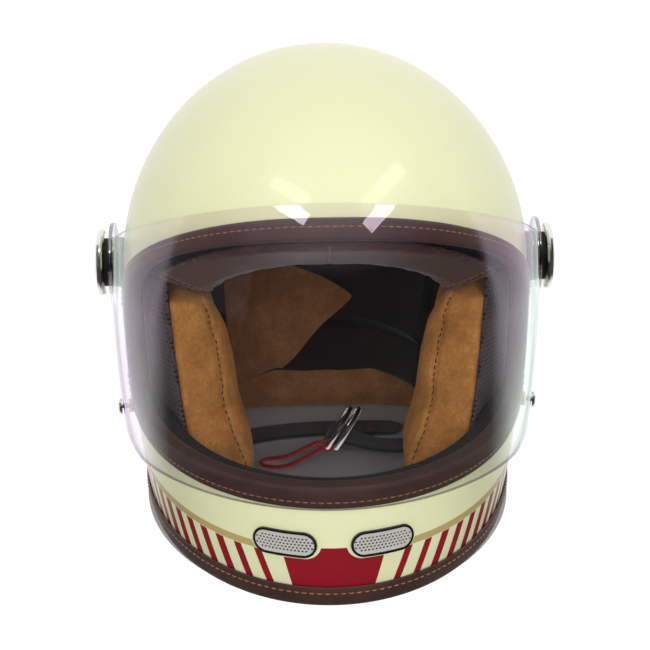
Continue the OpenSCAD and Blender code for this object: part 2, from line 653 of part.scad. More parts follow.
// D-ring: a straight bar, two short legs and a half-round, standing over its bar
module d_ring(x) {
    lean = 31;
    leg = 6;
    half = ring_half;
    color("silver") at_fold() translate([x - ring_x - ring_pitch / 2, 0, ring_z]) rotate([0, lean, 0]) union() {
        translate([0, -half, 0]) rotate([-90, 0, 0]) cylinder(h = 2 * half, d = ring_wire);
        for (s = [-1, 1]) {
            translate([0, s * half, 0]) sphere(d = ring_wire);
            translate([0, s * half, 0]) cylinder(h = leg, d = ring_wire);
        }
        translate([0, 0, leg]) rotate([90, 0, 90]) rotate_extrude(angle = 180)
            translate([half, 0]) circle(d = ring_wire);
    }
}
// A turn of the pull cord round the outer ring's bar, beside the strap
module cord_hitch() {
    color("firebrick") at_fold() translate([-ring_pitch / 2, -strap_w / 2 - 0.4, ring_z]) rotate([90, 0, 0])
        difference() {
            cylinder(h = 2.9, d = 7.6);
            translate([0, 0, -1]) cylinder(h = 5, d = ring_wire + 0.4);
        }
}
module tube(route, d, sides) {
    loft([for (k = [0:len(route) - 1])
        let (along = route_step(route, k) / norm(route_step(route, k)),
             flat_side = cross(along, [0, 0, 1]) / norm(cross(along, [0, 0, 1])),
             up = cross(flat_side, along))
            [for (j = [0:sides - 1]) let (t = 360 * j / sides)
                route[k] + d / 2 * (cos(t) * flat_side + sin(t) * up)]]);
}
// The cord hangs from the hitch, lies on the ground in a long loop and comes back
module pull_cord() {
    route = [[-2.7, 6.9, 19], [-6.5, 7.6, 17.9], [-10.5, 8.6, 15.6], [-14.5, 10, 12.8], [-18.5, 11.8, 9.8], [-23, 14, 6.6],
        [-27.5, 16.2, 4], [-32, 17.9, 2.4], [-36.5, 18.3, 1.8], [-40, 16.6, 1.8], [-41.8, 13.3, 1.8], [-40.8, 9.7, 1.8],
        [-37.4, 7.3, 1.8], [-32.5, 6.4, 1.8], [-27.5, 6.4, 2.2], [-22.5, 6.3, 3.6], [-17.5, 6.1, 6], [-12.5, 5.9, 9],
        [-7.5, 6.1, 12], [-2.7, 6.9, 14.6]];
    color("firebrick") tube(route, cord_d, 8);
}

shell();
crown_foam();
chin_foam();
cheek_foam(1);  // cheek_foam_left
cheek_foam(-1);  // cheek_foam_right
crown_liner();
brow_pad();
cheek_pad(1);  // cheek_pad_left
cheek_pad(-1);  // cheek_pad_right
neck_roll();
chin_lining();
eyeport_trim();
neck_trim();
vent_bezel(1);  // vent_bezel_left
vent_bezel(-1);  // vent_bezel_right
vent_grille(1);  // vent_grille_left
vent_grille(-1);  // vent_grille_right
vent_filter(1);  // vent_filter_left
vent_filter(-1);  // vent_filter_right
visor();
pivot_bush(1);  // pivot_bush_left
pivot_bush(-1);  // pivot_bush_right
pivot_insert(1);  // pivot_insert_left
pivot_insert(-1);  // pivot_insert_right
pivot_washer(1);  // pivot_washer_left
pivot_washer(-1);  // pivot_washer_right
pivot_knob(1);  // pivot_knob_left
pivot_knob(-1);  // pivot_knob_right
knob_cap(1);  // knob_cap_left
knob_cap(-1);  // knob_cap_right
stud_base(1);  // stud_base_left
stud_base(-1);  // stud_base_right
stud_cap(1);  // stud_cap_left
stud_cap(-1);  // stud_cap_right
strap_plate(1);  // strap_plate_left
strap_plate(-1);  // strap_plate_right
strap_rivet(1);  // strap_rivet_left
strap_rivet(-1);  // strap_rivet_right
strap_anchor(1);  // strap_anchor_left
strap_anchor(-1);  // strap_anchor_right
strap_left();
strap_right();
d_ring(ring_x);  // d_ring_outer
d_ring(ring_x + ring_pitch);  // d_ring_inner
cord_hitch();
pull_cord();
liner_studs();
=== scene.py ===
"""Looks of a retro full-face helmet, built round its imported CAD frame.

Shapes are worked out in millimetres with the same surface formula as the CAD model, in the same frame,
and become metres when a mesh is made. +Z is up, the front faces -Y and +X is the wearer's left.
"""
import math

import bmesh
import bpy
import numpy as np
from mathutils import Matrix, Vector
from mathutils.bvhtree import BVHTree
from mathutils.kdtree import KDTree


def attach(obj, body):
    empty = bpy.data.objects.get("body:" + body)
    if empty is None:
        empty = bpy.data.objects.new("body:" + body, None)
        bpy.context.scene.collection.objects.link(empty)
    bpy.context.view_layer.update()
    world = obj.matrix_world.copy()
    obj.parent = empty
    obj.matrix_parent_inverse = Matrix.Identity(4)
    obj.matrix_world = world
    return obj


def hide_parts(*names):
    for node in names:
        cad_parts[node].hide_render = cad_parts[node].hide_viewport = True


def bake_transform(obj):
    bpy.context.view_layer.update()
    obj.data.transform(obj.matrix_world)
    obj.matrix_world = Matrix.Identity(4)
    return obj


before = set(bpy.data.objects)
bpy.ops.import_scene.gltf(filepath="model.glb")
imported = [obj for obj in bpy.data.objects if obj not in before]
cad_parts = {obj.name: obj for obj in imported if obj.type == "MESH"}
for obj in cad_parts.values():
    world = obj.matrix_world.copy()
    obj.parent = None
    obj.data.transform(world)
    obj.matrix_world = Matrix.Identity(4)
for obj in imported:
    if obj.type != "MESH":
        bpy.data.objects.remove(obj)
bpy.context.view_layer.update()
MM = 0.001

# ---------------------------------------------------------------- dimensions, as in the CAD model
SHELL_W, EQUATOR_Z, CROWN_H = 242.0, 145.0, 126.0
BROW_REACH, CHIN_REACH, REAR_REACH = 145.0, 168.0, 165.0
SHELL_T, SHELL_LOW_Z = 4.0, 5.0
EYE_TOP_Z, EYE_LOW_Z, EYE_HALF_ANGLE, LIP_W = 210.5, 62.5, 80.0, 8.5
PIVOT_Y, PIVOT_Z = 4.5, 143.0
VISOR_OFF, VISOR_T, TAB_R, VISOR_BOW = 8.0, 2.2, 24.0, 7.0
VISOR_LOW_Z, VISOR_CORNER_Z, VISOR_CORNER_ANGLE = 65.0, 54.0, 76.0
BOW_LOW_Z, BOW_SPAN = 61.5, 157.0
FOAM_OFF, FOAM_T, LINER_T = -5.35, 28.0, 7.0
LINER_OFF = FOAM_OFF - FOAM_T - 2.9
VENT_ANGLE, VENT_Z, VENT_L, VENT_H = 13.25, 41.0, 36.0, 15.0
STUD_ANGLE, STUD_Z = 77.9, 64.0
ANCHOR_ANGLE, ANCHOR_Z = 106.0, 36.0
PIVOT_SEAT_R, PIVOT_BORE_R, FOAM_BORE_R, VISOR_BORE_R = 16.5, 3.6, 12.5, 6.05
STUD_BORE_R, RIVET_BORE_R, VENT_LIP = 1.6, 2.6, 3.0
PAD_LOW_Z, PAD_HIGH_Z = 17.0, 139.0
SIDES = {"left": 1, "right": -1}


# ---------------------------------------------------------------- form of the shell
def smooth(t):
    t = np.clip(t, 0, 1)
    return t * t * (3 - 2 * t)


def mix(a, b, t):
    return a + (b - a) * t


def sind(a):
    return np.sin(np.radians(a))


def cosd(a):
    return np.cos(np.radians(a))


def crown_share(z, off):
    """Share of the full reach that is left at height z, on the surface offset by off."""
    up = np.clip((z - EQUATOR_Z) / (CROWN_H + off), 0, 1)
    return np.sqrt(np.maximum(0, 1 - up**2))


def side_reach(z):
    return SHELL_W / 2 - 12 * np.clip((EQUATOR_Z - z) / EQUATOR_Z, 0, 1) ** 2.2


def back_reach(z):
    return REAR_REACH - 38 * np.clip((EQUATOR_Z - z) / EQUATOR_Z, 0, 1) ** 2.4


def front_reach(z):
    swell = mix(BROW_REACH, CHIN_REACH, smooth((EQUATOR_Z - z) / (EQUATOR_Z - 45)))
    return swell - 8 * np.clip((45 - z) / 45, 0, 1) ** 2


def skin(a, z, off=0.0):
    """Points at angle a from straight ahead and height z, moved outwards by off."""
    a, z, off = np.broadcast_arrays(np.float64(a), np.float64(z), np.float64(off))
    share = crown_share(z, off)
    reach = np.where(cosd(a) > 0, front_reach(z), back_reach(z)) + off
    return np.stack([(side_reach(z) + off) * share * sind(a), PIVOT_Y - reach * share * cosd(a), z], -1)


def latitude_z(z0, t, off):
    """Height at latitude t, from 0 at height z0 to 1 at the pole."""
    start = np.degrees(np.arcsin(np.clip((z0 - EQUATOR_Z) / (CROWN_H + off), -1, 1)))
    return EQUATOR_Z + (CROWN_H + off) * sind(mix(start, 90.0, t))


def eye_half(inset):
    return EYE_HALF_ANGLE - 0.42 * inset


def eye_lines(a, inset):
    """Lower and upper edge of the eyeport at angle a, drawn in by inset."""
    u = np.abs(a) / EYE_HALF_ANGLE
    high = EYE_TOP_Z - 62 * u**2.2
    low = EYE_LOW_Z - 4 * u**2
    share = np.maximum(0, 1 - np.minimum(np.abs(a) / eye_half(inset), 1) ** 6) ** (1 / 6)
    middle = (high + low) / 2
    rise = ((high - low) / 2 - inset) * share
    return middle - rise, middle + rise


def eye_low(a, inset):
    return eye_lines(a, inset)[0]


def eye_high(a, inset):
    return eye_lines(a, inset)[1]


def turn(a):
    """Angle from straight ahead, from 0 to 180 either way round."""
    a = np.abs(a)
    return np.where(a > 180, 360 - a, a)


# ---------------------------------------------------------------- meshes
def new_object(name, points_mm, faces, attributes=None, flat=False):
    mesh = bpy.data.meshes.new(name)
    mesh.from_pydata((np.asarray(points_mm, float) * MM).tolist(), [], [tuple(f) for f in faces])
    for key, values in (attributes or {}).items():
        layer = mesh.attributes.new(key, "FLOAT", "POINT")
        layer.data.foreach_set("value", np.asarray(values, np.float32).ravel())
    mesh.validate()
    mesh.shade_flat() if flat else mesh.shade_smooth()
    obj = bpy.data.objects.new(name, mesh)
    bpy.context.scene.collection.objects.link(obj)
    return obj


def grid_faces(nc, nr, start=0, flip=False):
    """Quads of a grid stored column by column."""
    faces = []
    for i in range(nc - 1):
        for j in range(nr - 1):
            a, b = start + i * nr + j, start + (i + 1) * nr + j
            quad = (a, b, b + 1, a + 1)
            faces.append(quad[::-1] if flip else quad)
    return faces


def slab(name, front, back, attributes=None):
    """Closed solid between two grids of points, columns from left to right and rows upwards."""
    nc, nr = front.shape[:2]
    half = nc * nr
    faces = grid_faces(nc, nr) + grid_faces(nc, nr, half, flip=True)
    for j in range(nr - 1):
        faces.append((half + j, j, j + 1, half + j + 1))
        k = (nc - 1) * nr + j
        faces.append((k, half + k, half + k + 1, k + 1))
    for i in range(nc - 1):
        a, b = i * nr, (i + 1) * nr
        faces.append((a, half + a, half + b, b))
        a, b = a + nr - 1, b + nr - 1
        faces.append((half + a, a, b, half + b))
    points = np.concatenate([front.reshape(-1, 3), back.reshape(-1, 3)])
    return new_object(name, points, faces, attributes)


def loft(name, sections, closed=False, attributes=None):
    """Solid swept through closed outlines; sections has shape (stations, points, 3)."""
    sections = np.asarray(sections, float)
    n, m = sections.shape[:2]
    faces = []
    for i in range(n if closed else n - 1):
        k = (i + 1) % n
        for j in range(m):
            q = (j + 1) % m
            faces.append((i * m + j, i * m + q, k * m + q, k * m + j))
    if not closed:
        faces.append(tuple(range(m - 1, -1, -1)))
        faces.append(tuple((n - 1) * m + j for j in range(m)))
    return new_object(name, sections.reshape(-1, 3), faces, attributes)


def fix_normals(obj):
    mesh = bmesh.new()
    mesh.from_mesh(obj.data)
    bmesh.ops.remove_doubles(mesh, verts=mesh.verts, dist=1e-6)
    bmesh.ops.recalc_face_normals(mesh, faces=mesh.faces)
    mesh.to_mesh(obj.data)
    mesh.free()
    return obj


def apply_modifiers(obj):
    graph = bpy.context.evaluated_depsgraph_get()
    mesh = bpy.data.meshes.new_from_object(obj.evaluated_get(graph), preserve_all_data_layers=True,
                                           depsgraph=graph)
    old, obj.data = obj.data, mesh
    obj.modifiers.clear()
    bpy.data.meshes.remove(old)
    return obj


def cut(obj, cutters):
    """Takes the cutters' solids out of obj."""
    for cutter in cutters:
        tool = obj.modifiers.new("cut", "BOOLEAN")
        tool.operation, tool.solver, tool.object = "DIFFERENCE", "EXACT", cutter
    apply_modifiers(obj)
    for cutter in cutters:
        bpy.data.objects.remove(cutter, do_unlink=True)
    return obj


def bevel(obj, width_mm, segments=2, angle=35):
    tool = obj.modifiers.new("bevel", "BEVEL")
    tool.width, tool.segments, tool.limit_method = width_mm * MM, segments, "ANGLE"
    tool.angle_limit, tool.harden_normals = math.radians(angle), False
    return apply_modifiers(obj)


def curve_points(points, count):
    """Smooth curve (Catmull-Rom) through the points, resampled to count points of equal spacing."""
    p = np.asarray(points, float)
    p = np.vstack([2 * p[0] - p[1], p, 2 * p[-1] - p[-2]])
    fine = []
    for i in range(1, len(p) - 2):
        t = np.linspace(0, 1, 24, endpoint=i == len(p) - 3)[:, None]
        a, b, c, d = p[i - 1], p[i], p[i + 1], p[i + 2]
        fine.append(0.5 * (2 * b + (c - a) * t + (2 * a - 5 * b + 4 * c - d) * t**2
                           + (3 * b - a - 3 * c + d) * t**3))
    fine = np.vstack(fine)
    along = run_length(fine[:, :3])
    want = np.linspace(0, along[-1], count)
    return np.stack([np.interp(want, along, fine[:, k]) for k in range(p.shape[1])], -1)


def run_length(points):
    """Distance along a line at each of its points, from 0."""
    return np.concatenate([[0], np.cumsum(np.linalg.norm(np.diff(points, axis=0), axis=1))])


def unit(v):
    return v / np.maximum(np.linalg.norm(v, axis=-1, keepdims=True), 1e-12)


def dress(obj, material, body, slot, *nodes):
    """Gives a piece its material and the body that it rides on, and hides the CAD nodes that it stands for. slot is
    not used.
    """
    if material is not None:
        obj.data.materials.clear()
        for m in material if isinstance(material, (list, tuple)) else [material]:
            obj.data.materials.append(m)
    if body:
        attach(obj, body)
    if nodes:
        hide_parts(*nodes)
    return obj


# ---------------------------------------------------------------- materials
class Nodes:
    """Short way to write a node tree: each call makes a node, sets or links its inputs and gives an output."""

    def __init__(self, tree, clear=True):
        self.tree = tree
        if clear:
            tree.nodes.clear()

    def node(self, kind, inputs=None, **settings):
        n = self.tree.nodes.new(kind)
        for key, value in settings.items():
            setattr(n, key, value)
        for key, value in (inputs or {}).items():
            self.set(n.inputs[key], value)
        return n

    def set(self, socket, value):
        if isinstance(value, bpy.types.NodeSocket):
            self.tree.links.new(value, socket)
        else:
            socket.default_value = value

    def math(self, operation, *values, clamp=False):
        n = self.tree.nodes.new("ShaderNodeMath")
        n.operation, n.use_clamp = operation, clamp
        for k, value in enumerate(values):
            self.set(n.inputs[k], value)
        return n.outputs[0]

    def add(self, a, b, clamp=False):
        return self.math("ADD", a, b, clamp=clamp)

    def sub(self, a, b):
        return self.math("SUBTRACT", a, b)

    def mul(self, a, b):
        return self.math("MULTIPLY", a, b)

    def div(self, a, b):
        return self.math("DIVIDE", a, b)

    def length(self, a, b):
        return self.math("SQRT", self.add(self.mul(a, a), self.mul(b, b)))

    def mix(self, share, a, b):
        n = self.tree.nodes.new("ShaderNodeMix")
        n.data_type = "RGBA"
        self.set(n.inputs[0], share)
        self.set(n.inputs[6], a)
        self.set(n.inputs[7], b)
        return n.outputs[2]

    def ramp(self, value, low, high, to_low=0.0, to_high=1.0):
        n = self.node("ShaderNodeMapRange", {0: value, 1: low, 2: high, 3: to_low, 4: to_high})
        n.clamp = True
        return n.outputs[0]

    def noise(self, scale, detail, vector, roughness=0.5):
        inputs = {"Scale": scale, "Detail": detail, "Roughness": roughness, "Vector": vector}
        return self.node("ShaderNodeTexNoise", inputs).outputs["Fac"]

    def cells(self, scale, vector, feature="F1"):
        inputs = {"Scale": scale, "Vector": vector}
        return self.node("ShaderNodeTexVoronoi", inputs, feature=feature).outputs["Distance"]

    def place(self):
        return self.node("ShaderNodeTexCoord").outputs["Object"]

    def attribute(self, name):
        return self.node("ShaderNodeAttribute", attribute_name=name).outputs["Fac"]

    def bump(self, height, distance, strength=1.0, normal=None):
        inputs = {"Height": height, "Distance": distance, "Strength": strength}
        if normal is not None:
            inputs["Normal"] = normal
        return self.node("ShaderNodeBump", inputs).outputs[0]

    def surface(self, shader):
        self.node("ShaderNodeOutputMaterial", {"Surface": shader})

    def principled(self, **inputs):
        return self.node("ShaderNodeBsdfPrincipled", inputs).outputs[0]


def shade_of(colour, share):
    """A linear colour made darker or lighter."""
    return (*(c * share for c in colour[:3]), 1.0)


def rgb(r, g, b):
    """Linear colour from the 0-255 values that a screen shows."""
    lin = [c / 255 / 12.92 if c <= 10 else ((c / 255 + 0.055) / 1.055) ** 2.4 for c in (r, g, b)]
    return (*lin, 1.0)


def new_material(name):
    m = bpy.data.materials.new(name)
    m.use_nodes = True
    return m, Nodes(m.node_tree)


# The painted pattern: stripes' first foot and pitch round the chin bar, their widths, the gold line's height
STRIPE_START, STRIPE_PITCH, STRIPE_LEAN = 36.2, 13.2, 0.31
STRIPE_WIDTHS = [4.6, 5.0, 6.0, 6.0, 6.2, 6.6, 7.0, 7.0, 7.0, 7.0, 7.0]
GOLD_Z, GOLD_H = 36.2, 4.4
CREAM, GOLD, RED = rgb(226, 228, 183), rgb(184, 164, 106), rgb(143, 14, 30)


def arc_length(a):
    """Distance round the chin bar from its middle to angle a, in millimetres."""
    fine = np.linspace(0, 180, 1441)
    speed = np.hypot(113 * cosd(fine), np.where(fine < 90, 166.0, 135.0) * sind(fine)) * np.pi / 180
    total = np.concatenate([[0], np.cumsum((speed[1:] + speed[:-1]) / 2 * np.diff(fine))])
    a = np.where(a > 180, a - 360, a)
    return np.sign(a) * np.interp(np.abs(a), fine, total)


def paint_material():
    """Cream lacquer with a gold line, leaning red stripes and a red panel between the vents."""
    m, n = new_material("shell_paint")
    arc = n.math("ABSOLUTE", n.attribute("arc"))
    height = n.attribute("height")
    soft = 0.12

    def inside(value, half_width):
        """1 where |value| is under half_width, with an edge as soft as a printed film's."""
        gap = n.sub(half_width, n.math("ABSOLUTE", value))
        return n.add(n.div(gap, 2 * soft), 0.5, clamp=True)

    vent_arc = float(arc_length(np.float64(VENT_ANGLE)))
    over = n.math("MAXIMUM", n.sub(n.math("ABSOLUTE", n.sub(arc, vent_arc)),
                                    (VENT_L - VENT_H) / 2), 0.0)
    rise = n.sub(height, VENT_Z)
    to_vent = n.length(over, rise)
    clear = n.add(n.div(n.sub(to_vent, VENT_H / 2 + 1.7), 2 * soft), 0.5, clamp=True)

    panel_half = n.add(n.mul(n.sub(height, 13.0), 0.22), 23.2)
    panel = n.mul(inside(n.sub(height, 24.0), 15.2), inside(arc, panel_half))
    panel = n.mul(panel, clear)

    lean = n.mul(n.sub(height, 13.0), STRIPE_LEAN)
    foot = n.sub(arc, lean)
    foot_z, head_z = 9.0, GOLD_Z - GOLD_H / 2 - 0.3
    band = inside(n.sub(height, (foot_z + head_z) / 2), (head_z - foot_z) / 2)
    stripes = None
    for k, width in enumerate(STRIPE_WIDTHS):
        one = inside(n.sub(foot, STRIPE_START + STRIPE_PITCH * k), width / 2)
        stripes = one if stripes is None else n.math("MAXIMUM", stripes, one)
    stripes = n.mul(n.mul(stripes, band), clear)

    line = n.mul(inside(n.sub(height, GOLD_Z), GOLD_H / 2),
                  n.math("GREATER_THAN", arc, vent_arc + VENT_L / 2 - 4))
    line = n.mul(line, clear)

    tone = n.noise(9.0, 3.0, n.place())
    cream = n.mix(n.ramp(tone, 0.3, 0.7, 0.0, 0.12), CREAM, rgb(224, 219, 170))
    colour = n.mix(line, cream, GOLD)
    colour = n.mix(stripes, colour, RED)
    colour = n.mix(panel, colour, RED)
    peel = n.noise(420.0, 2.0, n.place())
    n.surface(n.principled(**{
        "Base Color": colour, "Roughness": 0.35, "Specular IOR Level": 0.3, "Coat Weight": 0.35,
        "Coat Roughness": 0.06, "Normal": n.bump(peel, 0.00003, 0.35)}))
    return m


def leather_material(name, colour, worn, grain=1400.0, rough=0.5, holes=None):
    """Grained leather: small cells and creases, the creases painted darker as painted shade, with paler high spots.
    holes is a pitch for perforations.
    """
    m, n = new_material(name)
    place = n.place()
    cells = n.cells(grain, place, "DISTANCE_TO_EDGE")
    crease = n.ramp(cells, 0.0, 0.18)
    wear = n.noise(22.0, 5.0, place)
    mottle = n.noise(160.0, 3.0, place)
    base = n.mix(n.ramp(wear, 0.45, 0.75, 0.0, 0.55), colour, worn)
    base = n.mix(n.ramp(mottle, 0.3, 0.8, 0.0, 0.25), base, worn)
    # painted shade: the colour darkens into the creases between the cells
    base = n.mix(n.mul(n.sub(1.0, crease), 0.45), base, shade_of(colour, 0.45))
    height = n.add(crease, n.mul(n.noise(2600.0, 3.0, place), 0.25))
    normal = n.bump(height, 0.00006, 0.35)
    roughness = n.ramp(wear, 0.3, 0.8, rough + 0.1, rough - 0.08)
    if holes:
        row = n.div(n.attribute("height"), holes * 0.87)
        odd = n.math("MODULO", n.math("FLOOR", row), 2.0)
        across = n.add(n.div(n.attribute("arc"), holes), n.mul(odd, 0.5))
        u = n.sub(n.math("FRACT", across), 0.5)
        v = n.sub(n.math("FRACT", row), 0.5)
        reach = n.length(u, v)
        solid = n.ramp(reach, 0.2, 0.28)
        # the holes are painted near-black: partly the dark foam seen through them, partly painted shade inside them
        base = n.mix(solid, (0.004, 0.003, 0.003, 1.0), base)
        normal = n.bump(solid, 0.0005, 1.0, normal)
    n.surface(n.principled(**{
        "Base Color": base, "Roughness": roughness, "Sheen Weight": 0.12, "Sheen Roughness": 0.4, "Normal": normal}))
    return m


def suede_material(name, colour, dark, light):
    """Brushed suede: soft nap that lies darker and lighter, with a strong sheen and no gloss."""
    m, n = new_material(name)
    place = n.place()
    nap = n.noise(64.0, 8.0, place, 0.72)
    fine = n.noise(620.0, 4.0, place, 0.75)
    fibre = n.noise(3200.0, 2.0, place)
    base = n.mix(n.ramp(nap, 0.25, 0.6), dark, colour)
    base = n.mix(n.ramp(nap, 0.55, 0.8, 0.0, 0.5), base, light)
    base = n.mix(n.ramp(fine, 0.42, 0.66, 0.0, 0.55), base, dark)
    height = n.add(n.mul(fine, 0.8), n.mul(fibre, 0.4))
    n.surface(n.principled(**{
        "Base Color": base, "Roughness": 0.92, "Specular IOR Level": 0.15, "Sheen Weight": 0.5,
        "Sheen Roughness": 0.5, "Sheen Tint": light, "Normal": n.bump(height, 0.00022, 0.8)}))
    return m


def foam_material(name, colour):
    """Moulded bead foam: close-packed beads with fine pits between them, the bead middles painted paler and the pits
    darker, as painted highlight and painted shade.
    """
    m, n = new_material(name)
    place = n.place()
    beads = n.cells(330.0, place)
    # painted highlight and shade: paler in each bead's middle, darker in the pits between beads
    n.surface(n.principled(**{
        "Base Color": n.mix(n.ramp(beads, 0.0, 0.7), shade_of(colour, 1.7), colour),
        "Roughness": 0.78, "Normal": n.bump(n.sub(1.0, beads), 0.0004, 0.5)}))
    return m


def metal_material(name, colour, rough, brushed=0.0, metallic=1.0):
    m, n = new_material(name)
    place = n.place()
    streak = n.noise(900.0 if brushed else 120.0, 3.0, place)
    smear = n.noise(45.0, 4.0, place)
    worn = n.mix(n.ramp(smear, 0.4, 0.8, 0.0, 0.2), colour, shade_of(colour, 0.72))
    n.surface(n.principled(**{
        "Base Color": worn,
        "Metallic": metallic, "Roughness": n.ramp(smear, 0.3, 0.8, rough, rough + 0.1),
        "Normal": n.bump(streak, 0.00003 + 0.00008 * brushed, 0.3 + brushed)}))
    return m


def plain_material(name, colour, rough, bump_scale=500.0, depth=0.00006):
    """Moulded plastic or rubber with a fine texture and faint dust."""
    m, n = new_material(name)
    place = n.place()
    dust = n.noise(30.0, 5.0, place)
    n.surface(n.principled(**{
        "Base Color": n.mix(n.ramp(dust, 0.5, 0.85, 0.0, 0.15), colour, rgb(110, 105, 98)),
        "Roughness": n.ramp(dust, 0.3, 0.8, rough, rough + 0.12),
        "Normal": n.bump(n.noise(bump_scale, 3.0, place), depth, 0.6)}))
    return m


def webbing_material(name, colour, light):
    """Woven webbing: a herringbone of ribs that follows the band's own length and width, painted paler on the ribs and
    darker in the grooves as painted highlight and shade.
    """
    m, n = new_material(name)
    along, across = n.attribute("arc"), n.attribute("height")
    zig = n.math("PINGPONG", across, 2.75)
    rib = n.math("SINE", n.mul(n.add(along, zig), 2 * math.pi / 1.1))
    yarn = n.math("SINE", n.mul(across, 2 * math.pi / 0.9))
    height = n.add(n.mul(rib, 0.6), n.mul(yarn, 0.4))
    # painted highlight and shade: the raised ribs are paler, the grooves between them darker
    n.surface(n.principled(**{
        "Base Color": n.mix(n.ramp(height, -0.6, 0.9), colour, light), "Roughness": 0.7, "Sheen Weight": 0.3,
        "Normal": n.bump(height, 0.00018, 0.7)}))
    return m


def thread_material(name, colour, dark):
    """Twisted thread or braid."""
    m, n = new_material(name)
    place = n.place()
    ply = n.noise(1500.0, 2.0, place)
    n.surface(n.principled(**{
        "Base Color": n.mix(n.ramp(ply, 0.35, 0.7), dark, colour), "Roughness": 0.72, "Sheen Weight": 0.4,
        "Normal": n.bump(ply, 0.0001, 0.5)}))
    return m


def visor_material(name, tint, edge=False):
    """Thin clear polycarbonate: light goes straight through, the coated faces mirror it with a faint
    purple and green play of colour."""
    m, n = new_material(name)
    place = n.place()
    film = n.noise(7.0, 2.0, place)
    film2 = n.noise(16.0, 1.0, place)
    hue = n.mix(n.ramp(film, 0.38, 0.62), (0.95, 0.72, 1.0, 1.0), (0.80, 1.0, 0.86, 1.0))
    hue = n.mix(n.ramp(film2, 0.35, 0.65, 0.0, 0.5), hue, (1.0, 1.0, 1.0, 1.0))
    facing = n.node("ShaderNodeLayerWeight", {"Blend": 0.5}).outputs["Facing"]
    share = n.add(n.mul(n.math("POWER", facing, 5.0), 0.9), 0.045, clamp=True)
    clear = n.node("ShaderNodeBsdfTransparent", {"Color": tint}).outputs[0]
    gloss = n.node("ShaderNodeBsdfGlossy", {"Color": hue, "Roughness": 0.015}).outputs[0]
    if edge:
        body = n.principled(**{"Base Color": rgb(120, 112, 124), "Roughness": 0.12})
        clear = n.node("ShaderNodeMixShader", {0: 0.55, 1: clear, 2: body}).outputs[0]
    n.surface(n.node("ShaderNodeMixShader", {0: share, 1: clear, 2: gloss}).outputs[0])
    return m


MATERIALS = {
    "paint": paint_material(),
    "leather": leather_material("leather_brown", rgb(62, 38, 32), rgb(96, 62, 50)),
    "perforated": leather_material("leather_perforated", rgb(78, 70, 69), rgb(100, 90, 88), holes=3.0),
    "suede": suede_material("suede_tan", rgb(202, 142, 76), rgb(150, 98, 46), rgb(226, 170, 104)),
    # a darker copy of the tan suede: painted shade for the neck roll and the flap at the back
    "suede_painted_shade": suede_material("suede_painted_shade", rgb(158, 112, 70), rgb(118, 80, 46), rgb(182, 138, 94)),
    "mesh_lining": leather_material("lining_dark", rgb(24, 17, 16), rgb(34, 25, 23), grain=1500.0, rough=0.8),
    "foam": foam_material("foam_black", rgb(34, 34, 35)),
    "chrome": metal_material("knob_chrome", rgb(225, 224, 222), 0.06),
    "steel": metal_material("ring_steel", rgb(205, 204, 202), 0.16),
    "brushed": metal_material("grille_steel", rgb(224, 220, 214), 0.45, brushed=1.0, metallic=0.35),
    "brass": metal_material("brass", rgb(196, 162, 104), 0.24),
    "rubber": plain_material("rubber_black", rgb(22, 22, 22), 0.6),
    "plastic": plain_material("plastic_black", rgb(26, 26, 27), 0.42),
    "bezel": plain_material("bezel_black", rgb(18, 18, 19), 0.25),
    "shell_inside": plain_material("shell_inside", rgb(24, 23, 22), 0.8, 240.0, 0.0004),
    "filter": plain_material("filter_foam", rgb(20, 20, 20), 0.9, 900.0, 0.0006),
    "webbing": webbing_material("webbing_black", rgb(20, 20, 22), rgb(44, 43, 45)),
    "red_braid": thread_material("cord_red", rgb(205, 28, 40), rgb(120, 8, 18)),
    "thread": thread_material("stitch_thread", rgb(184, 116, 68), rgb(132, 76, 40)),
    "dark_thread": thread_material("seam_thread", rgb(70, 40, 26), rgb(44, 24, 16)),
    "visor": visor_material("visor_clear", (0.965, 0.955, 0.965, 1.0)),
    "visor_edge": visor_material("visor_edge", (0.8, 0.78, 0.82, 1.0), edge=True),
}


# ---------------------------------------------------------------- camera, floor and light
def place_camera():
    data = bpy.data.cameras.new("camera")
    data.lens, data.sensor_width, data.clip_end = 91.1, 36.0, 20.0
    data.shift_y = -0.0877
    camera = bpy.data.objects.new("camera", data)
    bpy.context.scene.collection.objects.link(camera)
    eye, target = Vector((-0.0197, -0.935, 0.479)), Vector((0.0, 0.0045, 0.137))
    camera.location = eye
    camera.rotation_euler = ((target - eye).to_track_quat("-Z", "Y").to_matrix().to_4x4()
                             @ Matrix.Rotation(math.radians(-0.5), 4, "Z")).to_euler()
    bpy.context.scene.camera = camera


def area_light(name, spot, target, size, power, colour=(1, 1, 1), spread=180):
    data = bpy.data.lights.new(name, "AREA")
    data.shape, data.size, data.size_y = "RECTANGLE", size[0], size[1]
    data.energy, data.color, data.spread = power, colour, math.radians(spread)
    light = bpy.data.objects.new(name, data)
    bpy.context.scene.collection.objects.link(light)
    light.location = spot
    light.rotation_euler = (Vector(target) - Vector(spot)).to_track_quat("-Z", "Y").to_euler()
    return light


WORLD_LIGHT = 0.55
MIRROR_LIGHT = 1.12


